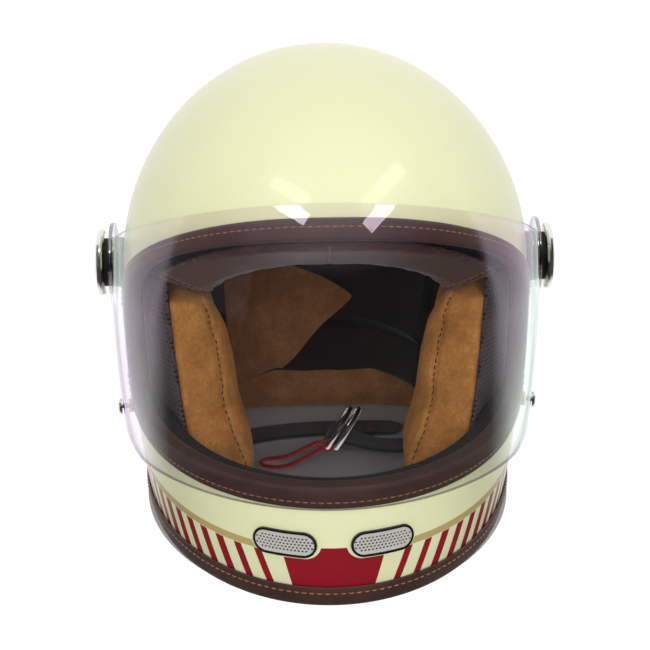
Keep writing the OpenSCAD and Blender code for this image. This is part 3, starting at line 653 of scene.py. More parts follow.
def build_studio():
    """White sweep, pale surroundings and tall softboxes, whose edges show as bands in the visor."""
    far = 4000
    floor = new_object("floor", [(-far, -far, 0), (far, -far, 0), (far, far, 0), (-far, far, 0)], [(0, 1, 2, 3)])
    m, n = new_material("floor_white")
    x, y, _ = n.node("ShaderNodeSeparateXYZ", {0: n.place()}).outputs
    reach = n.math("SQRT", n.add(n.math("POWER", n.div(x, 0.112), 2.0),
                                  n.math("POWER", n.div(n.add(y, 0.004), 0.148), 2.0)))
    path = n.node("ShaderNodeLightPath").outputs
    matt = n.principled(**{"Base Color": (0.62, 0.62, 0.63, 1.0), "Roughness": 0.9})
    # Mirrors show the floor as they show the walls: dark in front, bright beside and behind the object
    beside = n.add(n.sub(y, n.mul(n.math("ABSOLUTE", x), 0.17)), 0.08)
    beside = n.ramp(beside, -0.02, 0.06, 0.07, MIRROR_LIGHT)
    wall = n.node("ShaderNodeEmission", {"Color": (1, 1, 1, 1), "Strength": beside}).outputs[0]
    matt = n.node("ShaderNodeMixShader", {0: path["Is Glossy Ray"], 1: matt, 2: wall}).outputs[0]
    open_floor = n.mul(n.math("GREATER_THAN", reach, 1.0), path["Is Camera Ray"])
    glow = n.node("ShaderNodeEmission", {"Color": (1, 1, 1, 1), "Strength": 1.05}).outputs[0]
    n.surface(n.node("ShaderNodeMixShader", {0: open_floor, 1: matt, 2: glow}).outputs[0])
    floor.data.materials.append(m)
    world = bpy.data.worlds.new("studio")
    bpy.context.scene.world = world
    world.use_nodes = True
    background = world.node_tree.nodes["Background"]
    background.inputs[0].default_value = (1.0, 1.0, 1.0, 1.0)
    n = Nodes(world.node_tree, clear=False)
    path = n.node("ShaderNodeLightPath").outputs
    x, y, z = n.node("ShaderNodeSeparateXYZ", {0: n.node("ShaderNodeTexCoord").outputs["Generated"]}).outputs
    # A dark screen stands in front, so mirrors show a dark room with bright walls beside and behind the object
    wide = n.math("ABSOLUTE", x)
    front = n.ramp(n.sub(y, n.mul(wide, 0.17)), -0.03, 0.05, 1.0, 0.0)
    under = n.math("POWER", n.ramp(z, 0.5, 1.0, 1.0, 0.0), 0.6)
    # The screen on the wearer's right stands a little open
    open_side = n.mul(n.math("LESS_THAN", x, 0.0),
                       n.math("GREATER_THAN", n.add(y, n.mul(wide, 0.9)), 0.0))
    dark = n.sub(0.95, n.mul(open_side, 0.1))
    screen = n.mul(n.mul(front, under), dark)
    mirrored = n.mul(n.sub(1.0, screen), MIRROR_LIGHT)
    light = n.add(n.mul(path["Is Glossy Ray"], mirrored),
                   n.mul(n.sub(1.0, path["Is Glossy Ray"]), WORLD_LIGHT))
    camera = path["Is Camera Ray"]
    n.set(background.inputs[1], n.add(n.mul(camera, 1.05),
                                       n.mul(n.sub(1.0, camera), light)))
    middle = (0, 0, 0.14)
    overhead = area_light("overhead", (0.0, -0.2, 1.9), middle, (2.4, 2.0), 2.5)
    area_light("box_left", (-0.49, -0.60, 1.45), (-0.03, -0.12, 0.21), (0.62, 0.17), 2.0)
    area_light("box_right", (0.68, -0.44, 1.29), (0.03, -0.12, 0.21), (0.85, 0.17), 2.4)
    front = area_light("front", (0.0, -1.75, 0.78), (0, 0, 0.1), (1.7, 0.6), 17)
    rear = area_light("rear", (0.0, 1.8, 1.0), middle, (1.8, 0.8), 9)
    for light in (overhead, front, rear):
        light.visible_glossy = False
    bpy.context.scene.view_settings.view_transform = "Standard"


place_camera()
build_studio()


# ---------------------------------------------------------------- red pull cord on the outer ring
CORD_D = 3.0
CORD_ROUTE = [
    (-2.7, 6.9, 19), (-6.5, 7.6, 17.9), (-10.5, 8.6, 15.6), (-14.5, 10, 12.8), (-18.5, 11.8, 9.8), (-23, 14, 6.6),
    (-27.5, 16.2, 4), (-32, 17.9, 2.4), (-36.5, 18.3, 1.8), (-40, 16.6, 1.8), (-41.8, 13.3, 1.8), (-40.8, 9.7, 1.8),
    (-37.4, 7.3, 1.8), (-32.5, 6.4, 1.8), (-27.5, 6.4, 2.2), (-22.5, 6.3, 3.6), (-17.5, 6.1, 6), (-12.5, 5.9, 9),
    (-7.5, 6.1, 12), (-2.7, 6.9, 14.6)]


def ring_frames(route):
    """Unit tangent, level side and upward direction along a route."""
    along = unit(np.gradient(route, axis=0))
    side = unit(np.cross(along, [0.0, 0.0, 1.0]))
    return along, side, np.cross(side, along)


def tube(name, route, diameter, sides=14, wave=0.0):
    """Round tube along a route; wave makes the lobes of a twisted braid."""
    along, side, up = ring_frames(route)
    turns = run_length(route)
    t = np.linspace(0, 2 * np.pi, sides, endpoint=False)
    swell = 1 - wave / 2 + wave * np.abs(np.sin(1.5 * t[None, :] + turns[:, None] * 1.1)) * np.abs(
        np.sin(1.5 * t[None, :] - turns[:, None] * 1.1))
    rings = route[:, None] + diameter / 2 * swell[:, :, None] * (
        np.cos(t)[None, :, None] * side[:, None] + np.sin(t)[None, :, None] * up[:, None])
    return fix_normals(loft(name, rings))


def build_cord():
    route = curve_points(CORD_ROUTE, 260)
    cord = tube("pull_cord_braid", route, CORD_D, 24, wave=0.22)
    dress(cord, MATERIALS["red_braid"], "strap_left", "cord_red", "pull_cord")


build_cord()


# ---------------------------------------------------------------- shell
def reach_of(y, z):
    """Reach of the shell at height z, in front for a positive y and behind for a negative one."""
    return np.where(y > 0, front_reach(z), back_reach(z))


def angle_of(points, off=0.0):
    """Angle from straight ahead of points that lie on or near the surface."""
    z, y = points[:, 2], PIVOT_Y - points[:, 1]
    share = np.maximum(crown_share(z, off), 1e-3)
    x = points[:, 0] / ((side_reach(z) + off) * share)
    return np.degrees(np.arctan2(x, y / ((reach_of(y, z) + off) * share)))


def offset_of(points):
    """How far out from the shell's surface points lie, negative inside."""
    low, high = np.full(len(points), -115.0), np.full(len(points), 25.0)
    z, y = points[:, 2], PIVOT_Y - points[:, 1]
    for _ in range(32):
        middle = (low + high) / 2
        share = crown_share(z, middle)
        reach = reach_of(y, z) + middle
        wide = np.maximum((side_reach(z) + middle) * share, 1e-6)
        outside = (points[:, 0] / wide) ** 2 + (y / np.maximum(reach * share, 1e-6)) ** 2 > 1
        low, high = np.where(outside, middle, low), np.where(outside, high, middle)
    return (low + high) / 2


def mesh_points(obj):
    flat = np.empty(len(obj.data.vertices) * 3)
    obj.data.vertices.foreach_get("co", flat)
    return flat.reshape(-1, 3) / MM


def set_points(obj, points):
    obj.data.vertices.foreach_set("co", (points * MM).ravel())
    obj.data.update()


def set_attribute(obj, name, values):
    layer = obj.data.attributes.get(name) or obj.data.attributes.new(name, "FLOAT", "POINT")
    layer.data.foreach_set("value", np.asarray(values, np.float32))


def map_surface(obj):
    """Gives each point its distance round the chin bar and its height, for patterns on the surface."""
    points = mesh_points(obj)
    set_attribute(obj, "arc", np.abs(arc_length(angle_of(points))))
    set_attribute(obj, "height", points[:, 2])


FINE_FRONT, FINE_REAR = 64, 96
LIP_HALF = eye_half(LIP_W)
FINE_ANGLES = np.concatenate([
    LIP_HALF * sind(90 * np.arange(-FINE_FRONT, FINE_FRONT + 1) / FINE_FRONT),
    LIP_HALF + (360 - 2 * LIP_HALF) * np.arange(1, FINE_REAR) / FINE_REAR])


def side_frame(side):
    """Turns a local Z into the outward pivot axis of one side."""
    return Matrix.Translation((0, PIVOT_Y * MM, PIVOT_Z * MM)) @ Matrix.Rotation(math.radians(90 * side), 4, "Y")


def skin_frame(side, angle, z, off=0.0):
    """Local Z along the outward level normal at a point of the surface, local X along it."""
    a = side * angle
    p = skin(a, z, off)
    reach = front_reach(np.float64(z)) if cosd(a) > 0 else back_reach(np.float64(z))
    heading = math.atan2(float(sind(a)) / float(side_reach(np.float64(z))), float(cosd(a)) / float(reach))
    turned = Matrix.Rotation(heading, 4, "Z") @ Matrix.Rotation(math.radians(90), 4, "X")
    return Matrix.Translation(tuple(p * MM)) @ turned


def prism(name, outline, low, high):
    """Straight solid over a flat outline, between two heights of its own."""
    return loft(name, np.array([[(x, y, z) for x, y in outline] for z in (low, high)]))


def tool_at(matrix, outline, low, high):
    """Cutting tool over an outline, along the local Z of a frame."""
    obj = prism("tool", outline, low, high)
    obj.data.transform(matrix)
    return fix_normals(obj)


def rod(matrix, radius_mm, low_mm, high_mm, sides=48):
    t = np.linspace(0, 2 * np.pi, sides, endpoint=False)
    return tool_at(matrix, [(radius_mm * np.cos(x), radius_mm * np.sin(x)) for x in t], low_mm, high_mm)


def pill_outline(length, height, count=20):
    t = np.linspace(-np.pi / 2, np.pi / 2, count)
    right = np.stack([(length - height) / 2 + height / 2 * np.cos(t), height / 2 * np.sin(t)], -1)
    return np.concatenate([right, -right])


def sharpen(obj, angle):
    """Smooth shading, with edges kept sharp past an angle."""
    obj.data.shade_smooth()
    obj.data.set_sharp_from_angle(angle=math.radians(angle))


def second_material(obj, chosen):
    """Gives the chosen faces the piece's second material."""
    obj.data.polygons.foreach_set("material_index", chosen.astype(np.int32))
    obj.data.update()


def face_centres(obj):
    return np.array([face.center for face in obj.data.polygons]) / MM


def build_shell():
    """Painted shell with its eyeport lip, and the seats and holes of what is screwed or riveted to it."""
    rows_low, rows_high = 30, 54
    n = len(FINE_ANGLES)
    is_open = turn(FINE_ANGLES) < LIP_HALF - 0.01
    middle = sum(eye_lines(LIP_HALF, 0.0)) / 2
    low, high = eye_lines(FINE_ANGLES, LIP_W)
    low, high = np.where(is_open, low, middle), np.where(is_open, high, middle)
    column = rows_low + 1 + rows_high
    points = []
    for off in (0.0, -SHELL_T):
        for i, a in enumerate(FINE_ANGLES):
            points.append(skin(a, mix(SHELL_LOW_Z, low[i], np.linspace(0, 1, rows_low + 1)), off))
            points.append(skin(a, latitude_z(high[i], np.arange(rows_high) / rows_high, off), off))
    points += [[(0, PIVOT_Y, EQUATOR_Z + CROWN_H + off)] for off in (0.0, -SHELL_T)]
    pole = 2 * n * column

    def lower(s, i, j):
        return (s * n + i % n) * column + j

    def upper(s, i, j):
        if j == rows_high:
            return pole + s
        return lower(s, i, rows_low) if j == 0 and not is_open[i % n] else lower(s, i, rows_low + 1 + j)

    faces = []
    for i in range(n):
        for s in (0, 1):
            for j in range(rows_low):
                faces.append((lower(s, i, j), lower(s, i + 1, j), lower(s, i + 1, j + 1), lower(s, i, j + 1)))
            for j in range(rows_high - 1):
                faces.append((upper(s, i, j), upper(s, i + 1, j), upper(s, i + 1, j + 1), upper(s, i, j + 1)))
            faces.append((upper(s, i, rows_high - 1), upper(s, i + 1, rows_high - 1), upper(s, i, rows_high)))
        faces.append((lower(0, i, 0), lower(1, i, 0), lower(1, i + 1, 0), lower(0, i + 1, 0)))
        if is_open[i] or is_open[(i + 1) % n]:
            faces.append((lower(0, i, rows_low), lower(0, i + 1, rows_low),
                          lower(1, i + 1, rows_low), lower(1, i, rows_low)))
            faces.append((upper(0, i, 0), upper(1, i, 0), upper(1, i + 1, 0), upper(0, i + 1, 0)))
    used = sorted({v for f in faces for v in f})
    index = {v: k for k, v in enumerate(used)}
    points = np.concatenate(points)[used]
    shell = new_object("shell_painted", points, [tuple(index[v] for v in f) for f in faces])
    fix_normals(shell)
    tools = []
    for side in (-1, 1):
        tools.append(rod(side_frame(side), PIVOT_SEAT_R, SHELL_W / 2 - 1, SHELL_W / 2 + 20, 72))
        tools.append(rod(side_frame(side), PIVOT_BORE_R, 60, 200))
        vent = pill_outline(VENT_L - VENT_LIP, VENT_H - VENT_LIP)
        tools.append(tool_at(skin_frame(side, VENT_ANGLE, VENT_Z), vent, -15, 15))
        tools.append(rod(skin_frame(side, STUD_ANGLE, STUD_Z), STUD_BORE_R, -10, 10, 24))
        tools.append(rod(skin_frame(side, ANCHOR_ANGLE, ANCHOR_Z), RIVET_BORE_R, -10, 10, 24))
    cut(shell, tools)
    sharpen(shell, 32)
    map_surface(shell)
    dress(shell, [MATERIALS["paint"], MATERIALS["shell_inside"]], "root", "shell_paint", "shell")
    second_material(shell, offset_of(face_centres(shell)) < -SHELL_T / 2)


def vault(name, out_rim, in_rim, off_out, off_in, rows):
    """Closed dome under the crown, from its rim heights up to the pole."""
    n = len(FINE_ANGLES)
    points = []
    for off, rim in ((off_out, out_rim), (off_in, in_rim)):
        for i, a in enumerate(FINE_ANGLES):
            points.append(skin(a, latitude_z(rim[i], np.arange(rows) / rows, off), off))
    points += [[(0, PIVOT_Y, EQUATOR_Z + CROWN_H + off)] for off in (off_out, off_in)]
    pole = 2 * n * rows

    def at(s, i, j):
        return pole + s if j == rows else (s * n + i % n) * rows + j

    faces = []
    for i in range(n):
        for s in (0, 1):
            for j in range(rows - 1):
                faces.append((at(s, i, j), at(s, i + 1, j), at(s, i + 1, j + 1), at(s, i, j + 1)))
            faces.append((at(s, i, rows - 1), at(s, i + 1, rows - 1), at(s, i, rows)))
        faces.append((at(0, i, 0), at(1, i, 0), at(1, i + 1, 0), at(0, i + 1, 0)))
    return fix_normals(new_object(name, np.concatenate(points), faces))


RIM_LIFT = 3.0


def crown_rim(a, drop):
    u = turn(a)
    ear = mix(142.0, 36.0, smooth((u - 112) / 22))
    front = np.maximum(eye_high(np.where(a > 180, 0, a), LIP_W) - drop, ear)
    side = np.maximum(eye_high(70.0, LIP_W) - drop, ear)
    return np.where(u < 70, front, mix(side, ear, smooth((u - 70) / 10)))


def chin_top(a):
    return eye_low(a, LIP_W - 0.2)


build_shell()


# ---------------------------------------------------------------- foam and fixed linings
def skin_slab(name, cols, heights, off_out, off_in):
    """Solid between two offsets of the surface; heights gives the heights of one column from its angle."""
    grids = [np.array([skin(a, heights(a), off) for a in cols]) for off in (off_out, off_in)]
    return fix_normals(slab(name, *grids))


def foam_bore(side):
    return rod(side_frame(side), FOAM_BORE_R, SHELL_W / 2 - 10, SHELL_W / 2 + 10)


def build_foams():
    foam = vault("crown_foam_moulded", crown_rim(FINE_ANGLES, -RIM_LIFT), crown_rim(FINE_ANGLES, 18),
                 FOAM_OFF, FOAM_OFF - FOAM_T, 26)
    cut(foam, [foam_bore(side) for side in (-1, 1)])
    sharpen(foam, 35)
    dress(foam, MATERIALS["foam"], "root", "foam_black", "crown_foam")

    rows = np.linspace(0, 1, 14)
    chin = skin_slab("chin_foam_moulded", np.linspace(-73, 73, 90), lambda a: mix(16, chin_top(a), rows),
                     FOAM_OFF, -18)
    bevel(chin, 1.2, 2, 50)
    dress(chin, MATERIALS["foam"], "root", "foam_black", "chin_foam")

    for word, side in SIDES.items():
        pad = skin_slab("cheek_foam_moulded_" + word, side * np.linspace(77, 98, 14),
                        lambda a: mix(16, PAD_HIGH_Z, rows), FOAM_OFF, -15)
        cut(pad, [foam_bore(side)])
        bevel(pad, 0.8, 2, 60)
        dress(pad, MATERIALS["foam"], "root", "foam_black", "cheek_foam_" + word)

    low = mix(96, 39, smooth((turn(FINE_ANGLES) - 114) / 16))
    liner = vault("crown_liner_mesh", np.maximum(crown_rim(FINE_ANGLES, 16), low),
                  np.maximum(crown_rim(FINE_ANGLES, 18), low + 2), LINER_OFF, LINER_OFF - LINER_T, 26)
    sharpen(liner, 40)
    dress(liner, MATERIALS["mesh_lining"], "root", "leather_brown", "crown_liner")

    rows = np.linspace(0, 1, 12)
    cols = np.linspace(-55, 55, 80)
    lining = slab("chin_lining_leather",
                  np.array([skin(a, mix(16, chin_top(a) - 3, rows), -18.6) for a in cols]),
                  np.array([skin(a, mix(17, chin_top(a) - 5, rows), -21) for a in cols]))
    fix_normals(lining)
    bevel(lining, 0.8, 2, 50)
    map_surface(lining)
    dress(lining, MATERIALS["perforated"], "root", "leather_perforated", "chin_lining")


build_foams()


# ---------------------------------------------------------------- stitches and seams
def stitch_run(points, normals, length=3.0, gap=1.3, width=0.75):
    """Stitches of sewing thread along a line on a surface: raised in the middle, sunk at both ends."""
    points = np.asarray(points, float)
    along = run_length(points)
    count = int(along[-1] // (length + gap))
    verts, faces = [], []
    sides = 8
    for k in range(count):
        s = np.linspace(k * (length + gap), k * (length + gap) + length, 7)
        line = np.stack([np.interp(s, along, points[:, i]) for i in range(3)], -1)
        normal = unit(np.stack([np.interp(s, along, normals[:, i]) for i in range(3)], -1))
        across = unit(np.cross(unit(np.gradient(line, axis=0)), normal))
        share = np.sin(np.linspace(0.12, np.pi - 0.12, 7)) ** 0.5
        line = line + normal * (width * 0.5 * share[:, None] - width * 0.28)
        t = np.linspace(0, 2 * np.pi, sides, endpoint=False)
        rings = line[:, None] + width / 2 * share[:, None, None] * (
            np.cos(t)[None, :, None] * across[:, None] + np.sin(t)[None, :, None] * normal[:, None])
        start = len(verts)
        verts.extend(rings.reshape(-1, 3))
        for i in range(6):
            for j in range(sides):
                q = (j + 1) % sides
                a, b = start + i * sides, start + (i + 1) * sides
                faces.append((a + j, a + q, b + q, b + j))
        faces.append(tuple(start + j for j in range(sides - 1, -1, -1)))
        faces.append(tuple(start + 6 * sides + j for j in range(sides)))
    return verts, faces


def sew(name, runs, material="thread", body="root"):
    """One object with all the stitches of some runs, each a pair of points and normals."""
    verts, faces = [], []
    for points, normals in runs:
        v, f = stitch_run(points, normals)
        faces.extend(tuple(len(verts) + k for k in face) for face in f)
        verts.extend(v)
    obj = new_object(name, np.array(verts), faces)
    return dress(obj, MATERIALS[material], body, "stitch_thread")


def skin_line(angles, heights, off):
    """Points on the surface and the outward normals there."""
    p = skin(angles, heights, off)
    step = skin(np.asarray(angles) + 0.05, heights, off) - skin(np.asarray(angles) - 0.05, heights, off)
    rise = skin(angles, np.asarray(heights) + 0.05, off) - skin(angles, np.asarray(heights) - 0.05, off)
    n = unit(np.cross(step, rise))
    outward = np.sum(n * (p - np.array([0, PIVOT_Y, 120.0])), axis=-1) < 0
    n[outward] *= -1
    return p, n


# ---------------------------------------------------------------- leather trims
def rounded(profile, passes=2):
    """Closed outline with its corners cut, twice by default."""
    p = np.asarray(profile, float)
    for _ in range(passes):
        q = np.roll(p, -1, axis=0)
        p = np.stack([0.75 * p + 0.25 * q, 0.25 * p + 0.75 * q], 1).reshape(-1, p.shape[1])
    return p


def eyeport_point(upper, share, inset, off):
    a = eye_half(inset) * share
    low, high = eye_lines(a, inset)
    return skin(a, high if upper else low, off)


def build_eyeport_trim():
    fold = rounded([(0, 0.4), (0, 1.5), (1.2, 2.2), (LIP_W - 1.0, 2.4), (LIP_W + 1.4, 1.8), (LIP_W + 2.8, 0.2),
                    (LIP_W + 2.6, -3), (LIP_W + 2.6, -8), (LIP_W + 0.6, -8), (LIP_W + 0.6, 0.4), (LIP_W - 0.4, 0.4)])
    steps = 96
    route = [(True, float(sind(90 * k / steps))) for k in range(-steps, steps + 1)]
    route += [(False, float(sind(90 * k / steps))) for k in range(steps - 1, -steps, -1)]
    sections = [[eyeport_point(up, s, inset, off) for inset, off in fold] for up, s in route]
    trim = loft("eyeport_trim_leather", sections, closed=True)
    fix_normals(trim)
    dress(trim, MATERIALS["leather"], "root", "leather_brown", "eyeport_trim")
    inset = 3.6
    a = eye_half(inset) * sind(np.linspace(-86, 86, 400))
    sew("eyeport_stitches", [skin_line(a, edge, 2.35) for edge in eye_lines(a, inset)[::-1]])


def build_neck_trim():
    wrap = rounded([(1.8, 0.7), (1.9, 12.4), (1.0, 13.5), (0.3, 13.4), (0.3, 4.7), (-4.3, 4.7), (-4.3, 10), (-5.7, 10),
                    (-5.7, 0.7), (-4.4, 0.05), (0.6, 0.05)], 1)
    trim = loft("neck_trim_leather", [[skin(a, z, off) for off, z in wrap] for a in FINE_ANGLES], closed=True)
    fix_normals(trim)
    dress(trim, MATERIALS["leather"], "root", "leather_brown", "neck_trim")
    around = np.linspace(-179.5, 179.5, 1600)
    sew("neck_stitches", [skin_line(around, np.full_like(around, 9.6), 1.9)])


build_eyeport_trim()
build_neck_trim()


# ---------------------------------------------------------------- soft pads
def smooth_mesh(obj, rounds, factor=0.5):
    tool = obj.modifiers.new("smooth", "SMOOTH")
    tool.iterations, tool.factor = rounds, factor
    return apply_modifiers(obj)


def keep_between(obj, low, high):
    """Brings points that stray beyond two offsets from the shell back to them."""
    points = mesh_points(obj)
    off = offset_of(points)
    angle = angle_of(points, off)
    want = np.clip(off, low, high)
    stray = np.abs(want - off) > 1e-6
    points[stray] = skin(angle[stray], points[stray, 2], want[stray])
    set_points(obj, points)


CLOTH_FRAMES = 20


def puff(obj, cap, voxel=4.0, pressure=4.0, high=-15.8, low=-200.0, floor=None):
    """Makes a soft pad: an even mesh, blown up a little as cloth, kept off its neighbours."""
    tool = obj.modifiers.new("remesh", "REMESH")
    tool.mode, tool.voxel_size = "VOXEL", voxel * MM
    apply_modifiers(obj)
    smooth_mesh(obj, 3)
    before = mesh_points(obj)
    tool = obj.modifiers.new("cloth", "CLOTH")
    tool.settings.quality, tool.settings.mass = 5, 0.25
    tool.settings.tension_stiffness = tool.settings.compression_stiffness = 12
    tool.settings.use_pressure, tool.settings.uniform_pressure_force = True, pressure
    tool.settings.effector_weights.gravity = 0
    tool.collision_settings.use_collision = False
    tool.point_cache.frame_start, tool.point_cache.frame_end = 1, CLOTH_FRAMES
    scene = bpy.context.scene
    for f in range(1, CLOTH_FRAMES + 1):
        scene.frame_set(f)
    apply_modifiers(obj)
    scene.frame_set(1)
    moved = mesh_points(obj) - before
    far = np.linalg.norm(moved, axis=1, keepdims=True)
    set_points(obj, before + moved * np.minimum(1, cap / np.maximum(far, 1e-9)))
    tool = obj.modifiers.new("fine", "SUBSURF")
    tool.levels = tool.render_levels = 1
    apply_modifiers(obj)
    keep_between(obj, low, high)
    if floor is not None:
        points = mesh_points(obj)
        points[:, 2] = np.maximum(points[:, 2], floor)
        set_points(obj, points)
    obj.data.shade_smooth()
    return obj


def on_surface(obj, points):
    """Nearest points of a pad's surface to some points, and the normals there."""
    mesh = bmesh.new()
    mesh.from_mesh(obj.data)
    tree = BVHTree.FromBMesh(mesh)
    spots, normals = [], []
    for p in np.asarray(points):
        hit, normal, _, _ = tree.find_nearest(Vector(p * MM))
        spots.append(np.array(hit) / MM)
        normals.append(np.array(normal))
    mesh.free()
    spots, normals = np.array(spots), np.array(normals)
    for _ in range(3):
        normals[1:-1] = unit(normals[:-2] + normals[1:-1] + normals[2:])
    return spots, normals


def groove(obj, spots, width, depth):
    """Pulls the surface in along a seam."""
    tree = KDTree(len(spots))
    for k, p in enumerate(spots):
        tree.insert(Vector(p), k)
    tree.balance()
    points = mesh_points(obj)
    normals = np.array([v.normal for v in obj.data.vertices])
    for k, p in enumerate(points):
        distance = tree.find(Vector(p))[2]
        if distance < width:
            points[k] -= normals[k] * depth * (1 - distance / width) ** 1.5
    set_points(obj, points)


def sunk_seam(obj, line, width, depth):
    """Sinks a seam into a pad near a line, and gives the points and normals to sew it on."""
    spots, _ = on_surface(obj, line)
    groove(obj, spots, width, depth)
    return on_surface(obj, spots)


def pad_front_angle(z):
    return mix(48, 66, np.clip((z - 34) / 100, 0, 1) ** 0.6)


def pad_point(side, u, t, depth_share, shrink=0.0):
    """Point of a cheek pad: share u from front to back, t from bottom to top, 0 at the foam to 1 at the face."""
    z = mix(PAD_LOW_Z + shrink, PAD_HIGH_Z - shrink, t)
    a = mix(pad_front_angle(z) + shrink * 0.5, 111 - shrink * 0.5, u)
    outside = mix(-22, -15.8, smooth((a - 74) / 6))
    crown = sind(180 * mix(0.16, 0.97, u)) ** 0.35
    depth = 3 + mix(52, 39, smooth((z - 25) / 50)) * crown * sind(180 * mix(0.12, 0.88, t)) ** 0.4
    return skin(side * a, z, outside - depth * depth_share)


def build_cheek_pads():
    for word, side in SIDES.items():
        us, ts = np.linspace(0, 1, 40), np.linspace(0, 1, 44)
        outer = np.array([[pad_point(side, u, t, 0.0, 1.5) for t in ts] for u in us])
        inner = np.array([[pad_point(side, u, t, 0.9, 1.5) for t in ts] for u in us])
        pad = fix_normals(slab("cheek_pad_suede_" + word, outer, inner))
        puff(pad, 3.5)
        line = np.array([pad_point(side, 0.0, t, 0.88) for t in np.linspace(0.03, 0.97, 160)])
        seam = sunk_seam(pad, line, 3.2, 1.5)
        dress(pad, MATERIALS["suede"], "root", "suede_tan", "cheek_pad_" + word)
        sew("cheek_seam_" + word, [seam], "dark_thread")


def brow_face(a, t, lift):
    z = mix(crown_rim(a, 0) - 3.4, crown_rim(a, 24), t) - lift * 0.7
    return skin(a, z, mix(-9, LINER_OFF - LINER_T + 1, t))


def build_brow_pad():
    cols, ts = np.linspace(-62, 62, 90), np.linspace(0, 1, 20)
    lower = np.array([[brow_face(a, t, 6.2) for t in ts[::-1]] for a in cols])
    upper = np.array([[brow_face(a, t, 2.0) for t in ts[::-1]] for a in cols])
    pad = fix_normals(slab("brow_pad_leather", lower, upper))
    puff(pad, 1.0, voxel=2.0, pressure=3.0, high=-8.6)
    runs = []
    for start, end in (((0.0, 0.06), (0.0, 0.97)), ((-57.5, 0.05), (-57.0, 0.97)), ((57.5, 0.05), (57.0, 0.97))):
        share = np.linspace(0, 1, 60)
        line = np.array([brow_face(mix(start[0], end[0], s), mix(start[1], end[1], s), 9.0) for s in share])
        runs.append(sunk_seam(pad, line, 2.6, 0.8))
    dress(pad, MATERIALS["leather"], "root", "leather_brown", "brow_pad")
    sew("brow_stitches", runs)


def roll_depth(a):
    """Depth of the neck roll, which thins out towards its ends."""
    return 12 + 41 * smooth((turn(a) - 118) / 55)


def build_neck_roll():
    cols, ts = np.linspace(119, 241, 84), np.linspace(0, 1, 24)
    share = sind(180 * mix(0.06, 0.92, ts)) ** 0.25
    outer = np.array([skin(a, mix(9.5, 31.5, ts), -8.0) for a in cols])
    inner = np.array([skin(a, mix(6.5, 30, ts), -9 - (roll_depth(a) - 1) * share) for a in cols])
    roll = fix_normals(slab("neck_roll_suede", outer, inner))
    puff(roll, 4.0, high=-7.0, floor=4.2)
    # the darker suede on the neck roll is painted shade
    dress(roll, MATERIALS["suede_painted_shade"], "root", "suede_tan", "neck_roll")


build_cheek_pads()
build_brow_pad()
build_neck_roll()


# ---------------------------------------------------------------- tan flap of the crown liner
def build_flap():
    """Suede panel of the crown liner behind the right ear; its lower edge hangs diagonally across the back."""
    angles, rows = np.linspace(164, 238, 76), np.linspace(0, 1, 36)
    share = (angles - 164) / 74
    low = mix(76, 33.5, np.clip(share * 1.8, 0, 1) ** 0.85)
    high = mix(77, 120, share**0.85)
    ripple = 0.9 * np.sin(share * 17) * share

    def grid(off):
        columns = []
        for a, lo, hi, w in zip(angles, low, high, ripple):
            z = mix(lo, hi, rows)
            columns.append(skin(a, z, curtain_off(a, z) - off - w * (1 - rows) ** 2))
        return np.array(columns)

    flap = fix_normals(slab("liner_flap_suede", grid(1.8), grid(4.0)))
    bevel(flap, 0.8, 2, 50)
    # the darker suede on the flap is painted shade
    dress(flap, MATERIALS["suede_painted_shade"], "root", "suede_tan")


CURTAIN_TOP_Z, CURTAIN_LOW_Z = 57.0, 31.0


def curtain_off(a, z):
    """Offset of the lining cloth that runs down from the crown liner to the top of the neck roll."""
    share = np.clip((CURTAIN_TOP_Z - z) / (CURTAIN_TOP_Z - CURTAIN_LOW_Z), 0, 1)
    return mix(LINER_OFF - LINER_T + 1, np.minimum(LINER_OFF - LINER_T + 1, -2 - roll_depth(a)), share)


def build_curtain():
    angles, z = np.linspace(124, 236, 90), np.linspace(CURTAIN_LOW_Z, CURTAIN_TOP_Z, 16)
    curtain = fix_normals(slab("liner_curtain_cloth", np.array([skin(a, z, curtain_off(a, z) + 1.2) for a in angles]),
                               np.array([skin(a, z, curtain_off(a, z)) for a in angles])))
    dress(curtain, MATERIALS["mesh_lining"], "root", "leather_brown")


def build_side_panels():
    """Perforated leather from the edge of the eyeport to the front of each cheek pad."""
    for word, side in SIDES.items():
        rows, across = np.linspace(0, 1, 60), np.linspace(0, 1, 18)

        def grid(lift):
            columns = []
            for u in across:
                z = mix(24.0, 147.0, rows)
                pad = pad_front_angle(np.clip(z, PAD_LOW_Z, PAD_HIGH_Z)) + 3.0
                edge = np.minimum(75.5, pad + 16)
                off = mix(-21.0, -9.4, u ** 0.8) - 1.5 * np.sin(np.pi * u) - lift
                columns.append(skin(side * mix(pad, edge, u), z, off))
            return np.array(columns)

        panel = fix_normals(slab("cheek_side_leather_" + word, grid(0.0), grid(1.6)))
        map_surface(panel)
        dress(panel, MATERIALS["perforated"], "root", "leather_perforated")


build_curtain()
build_side_panels()
build_flap()


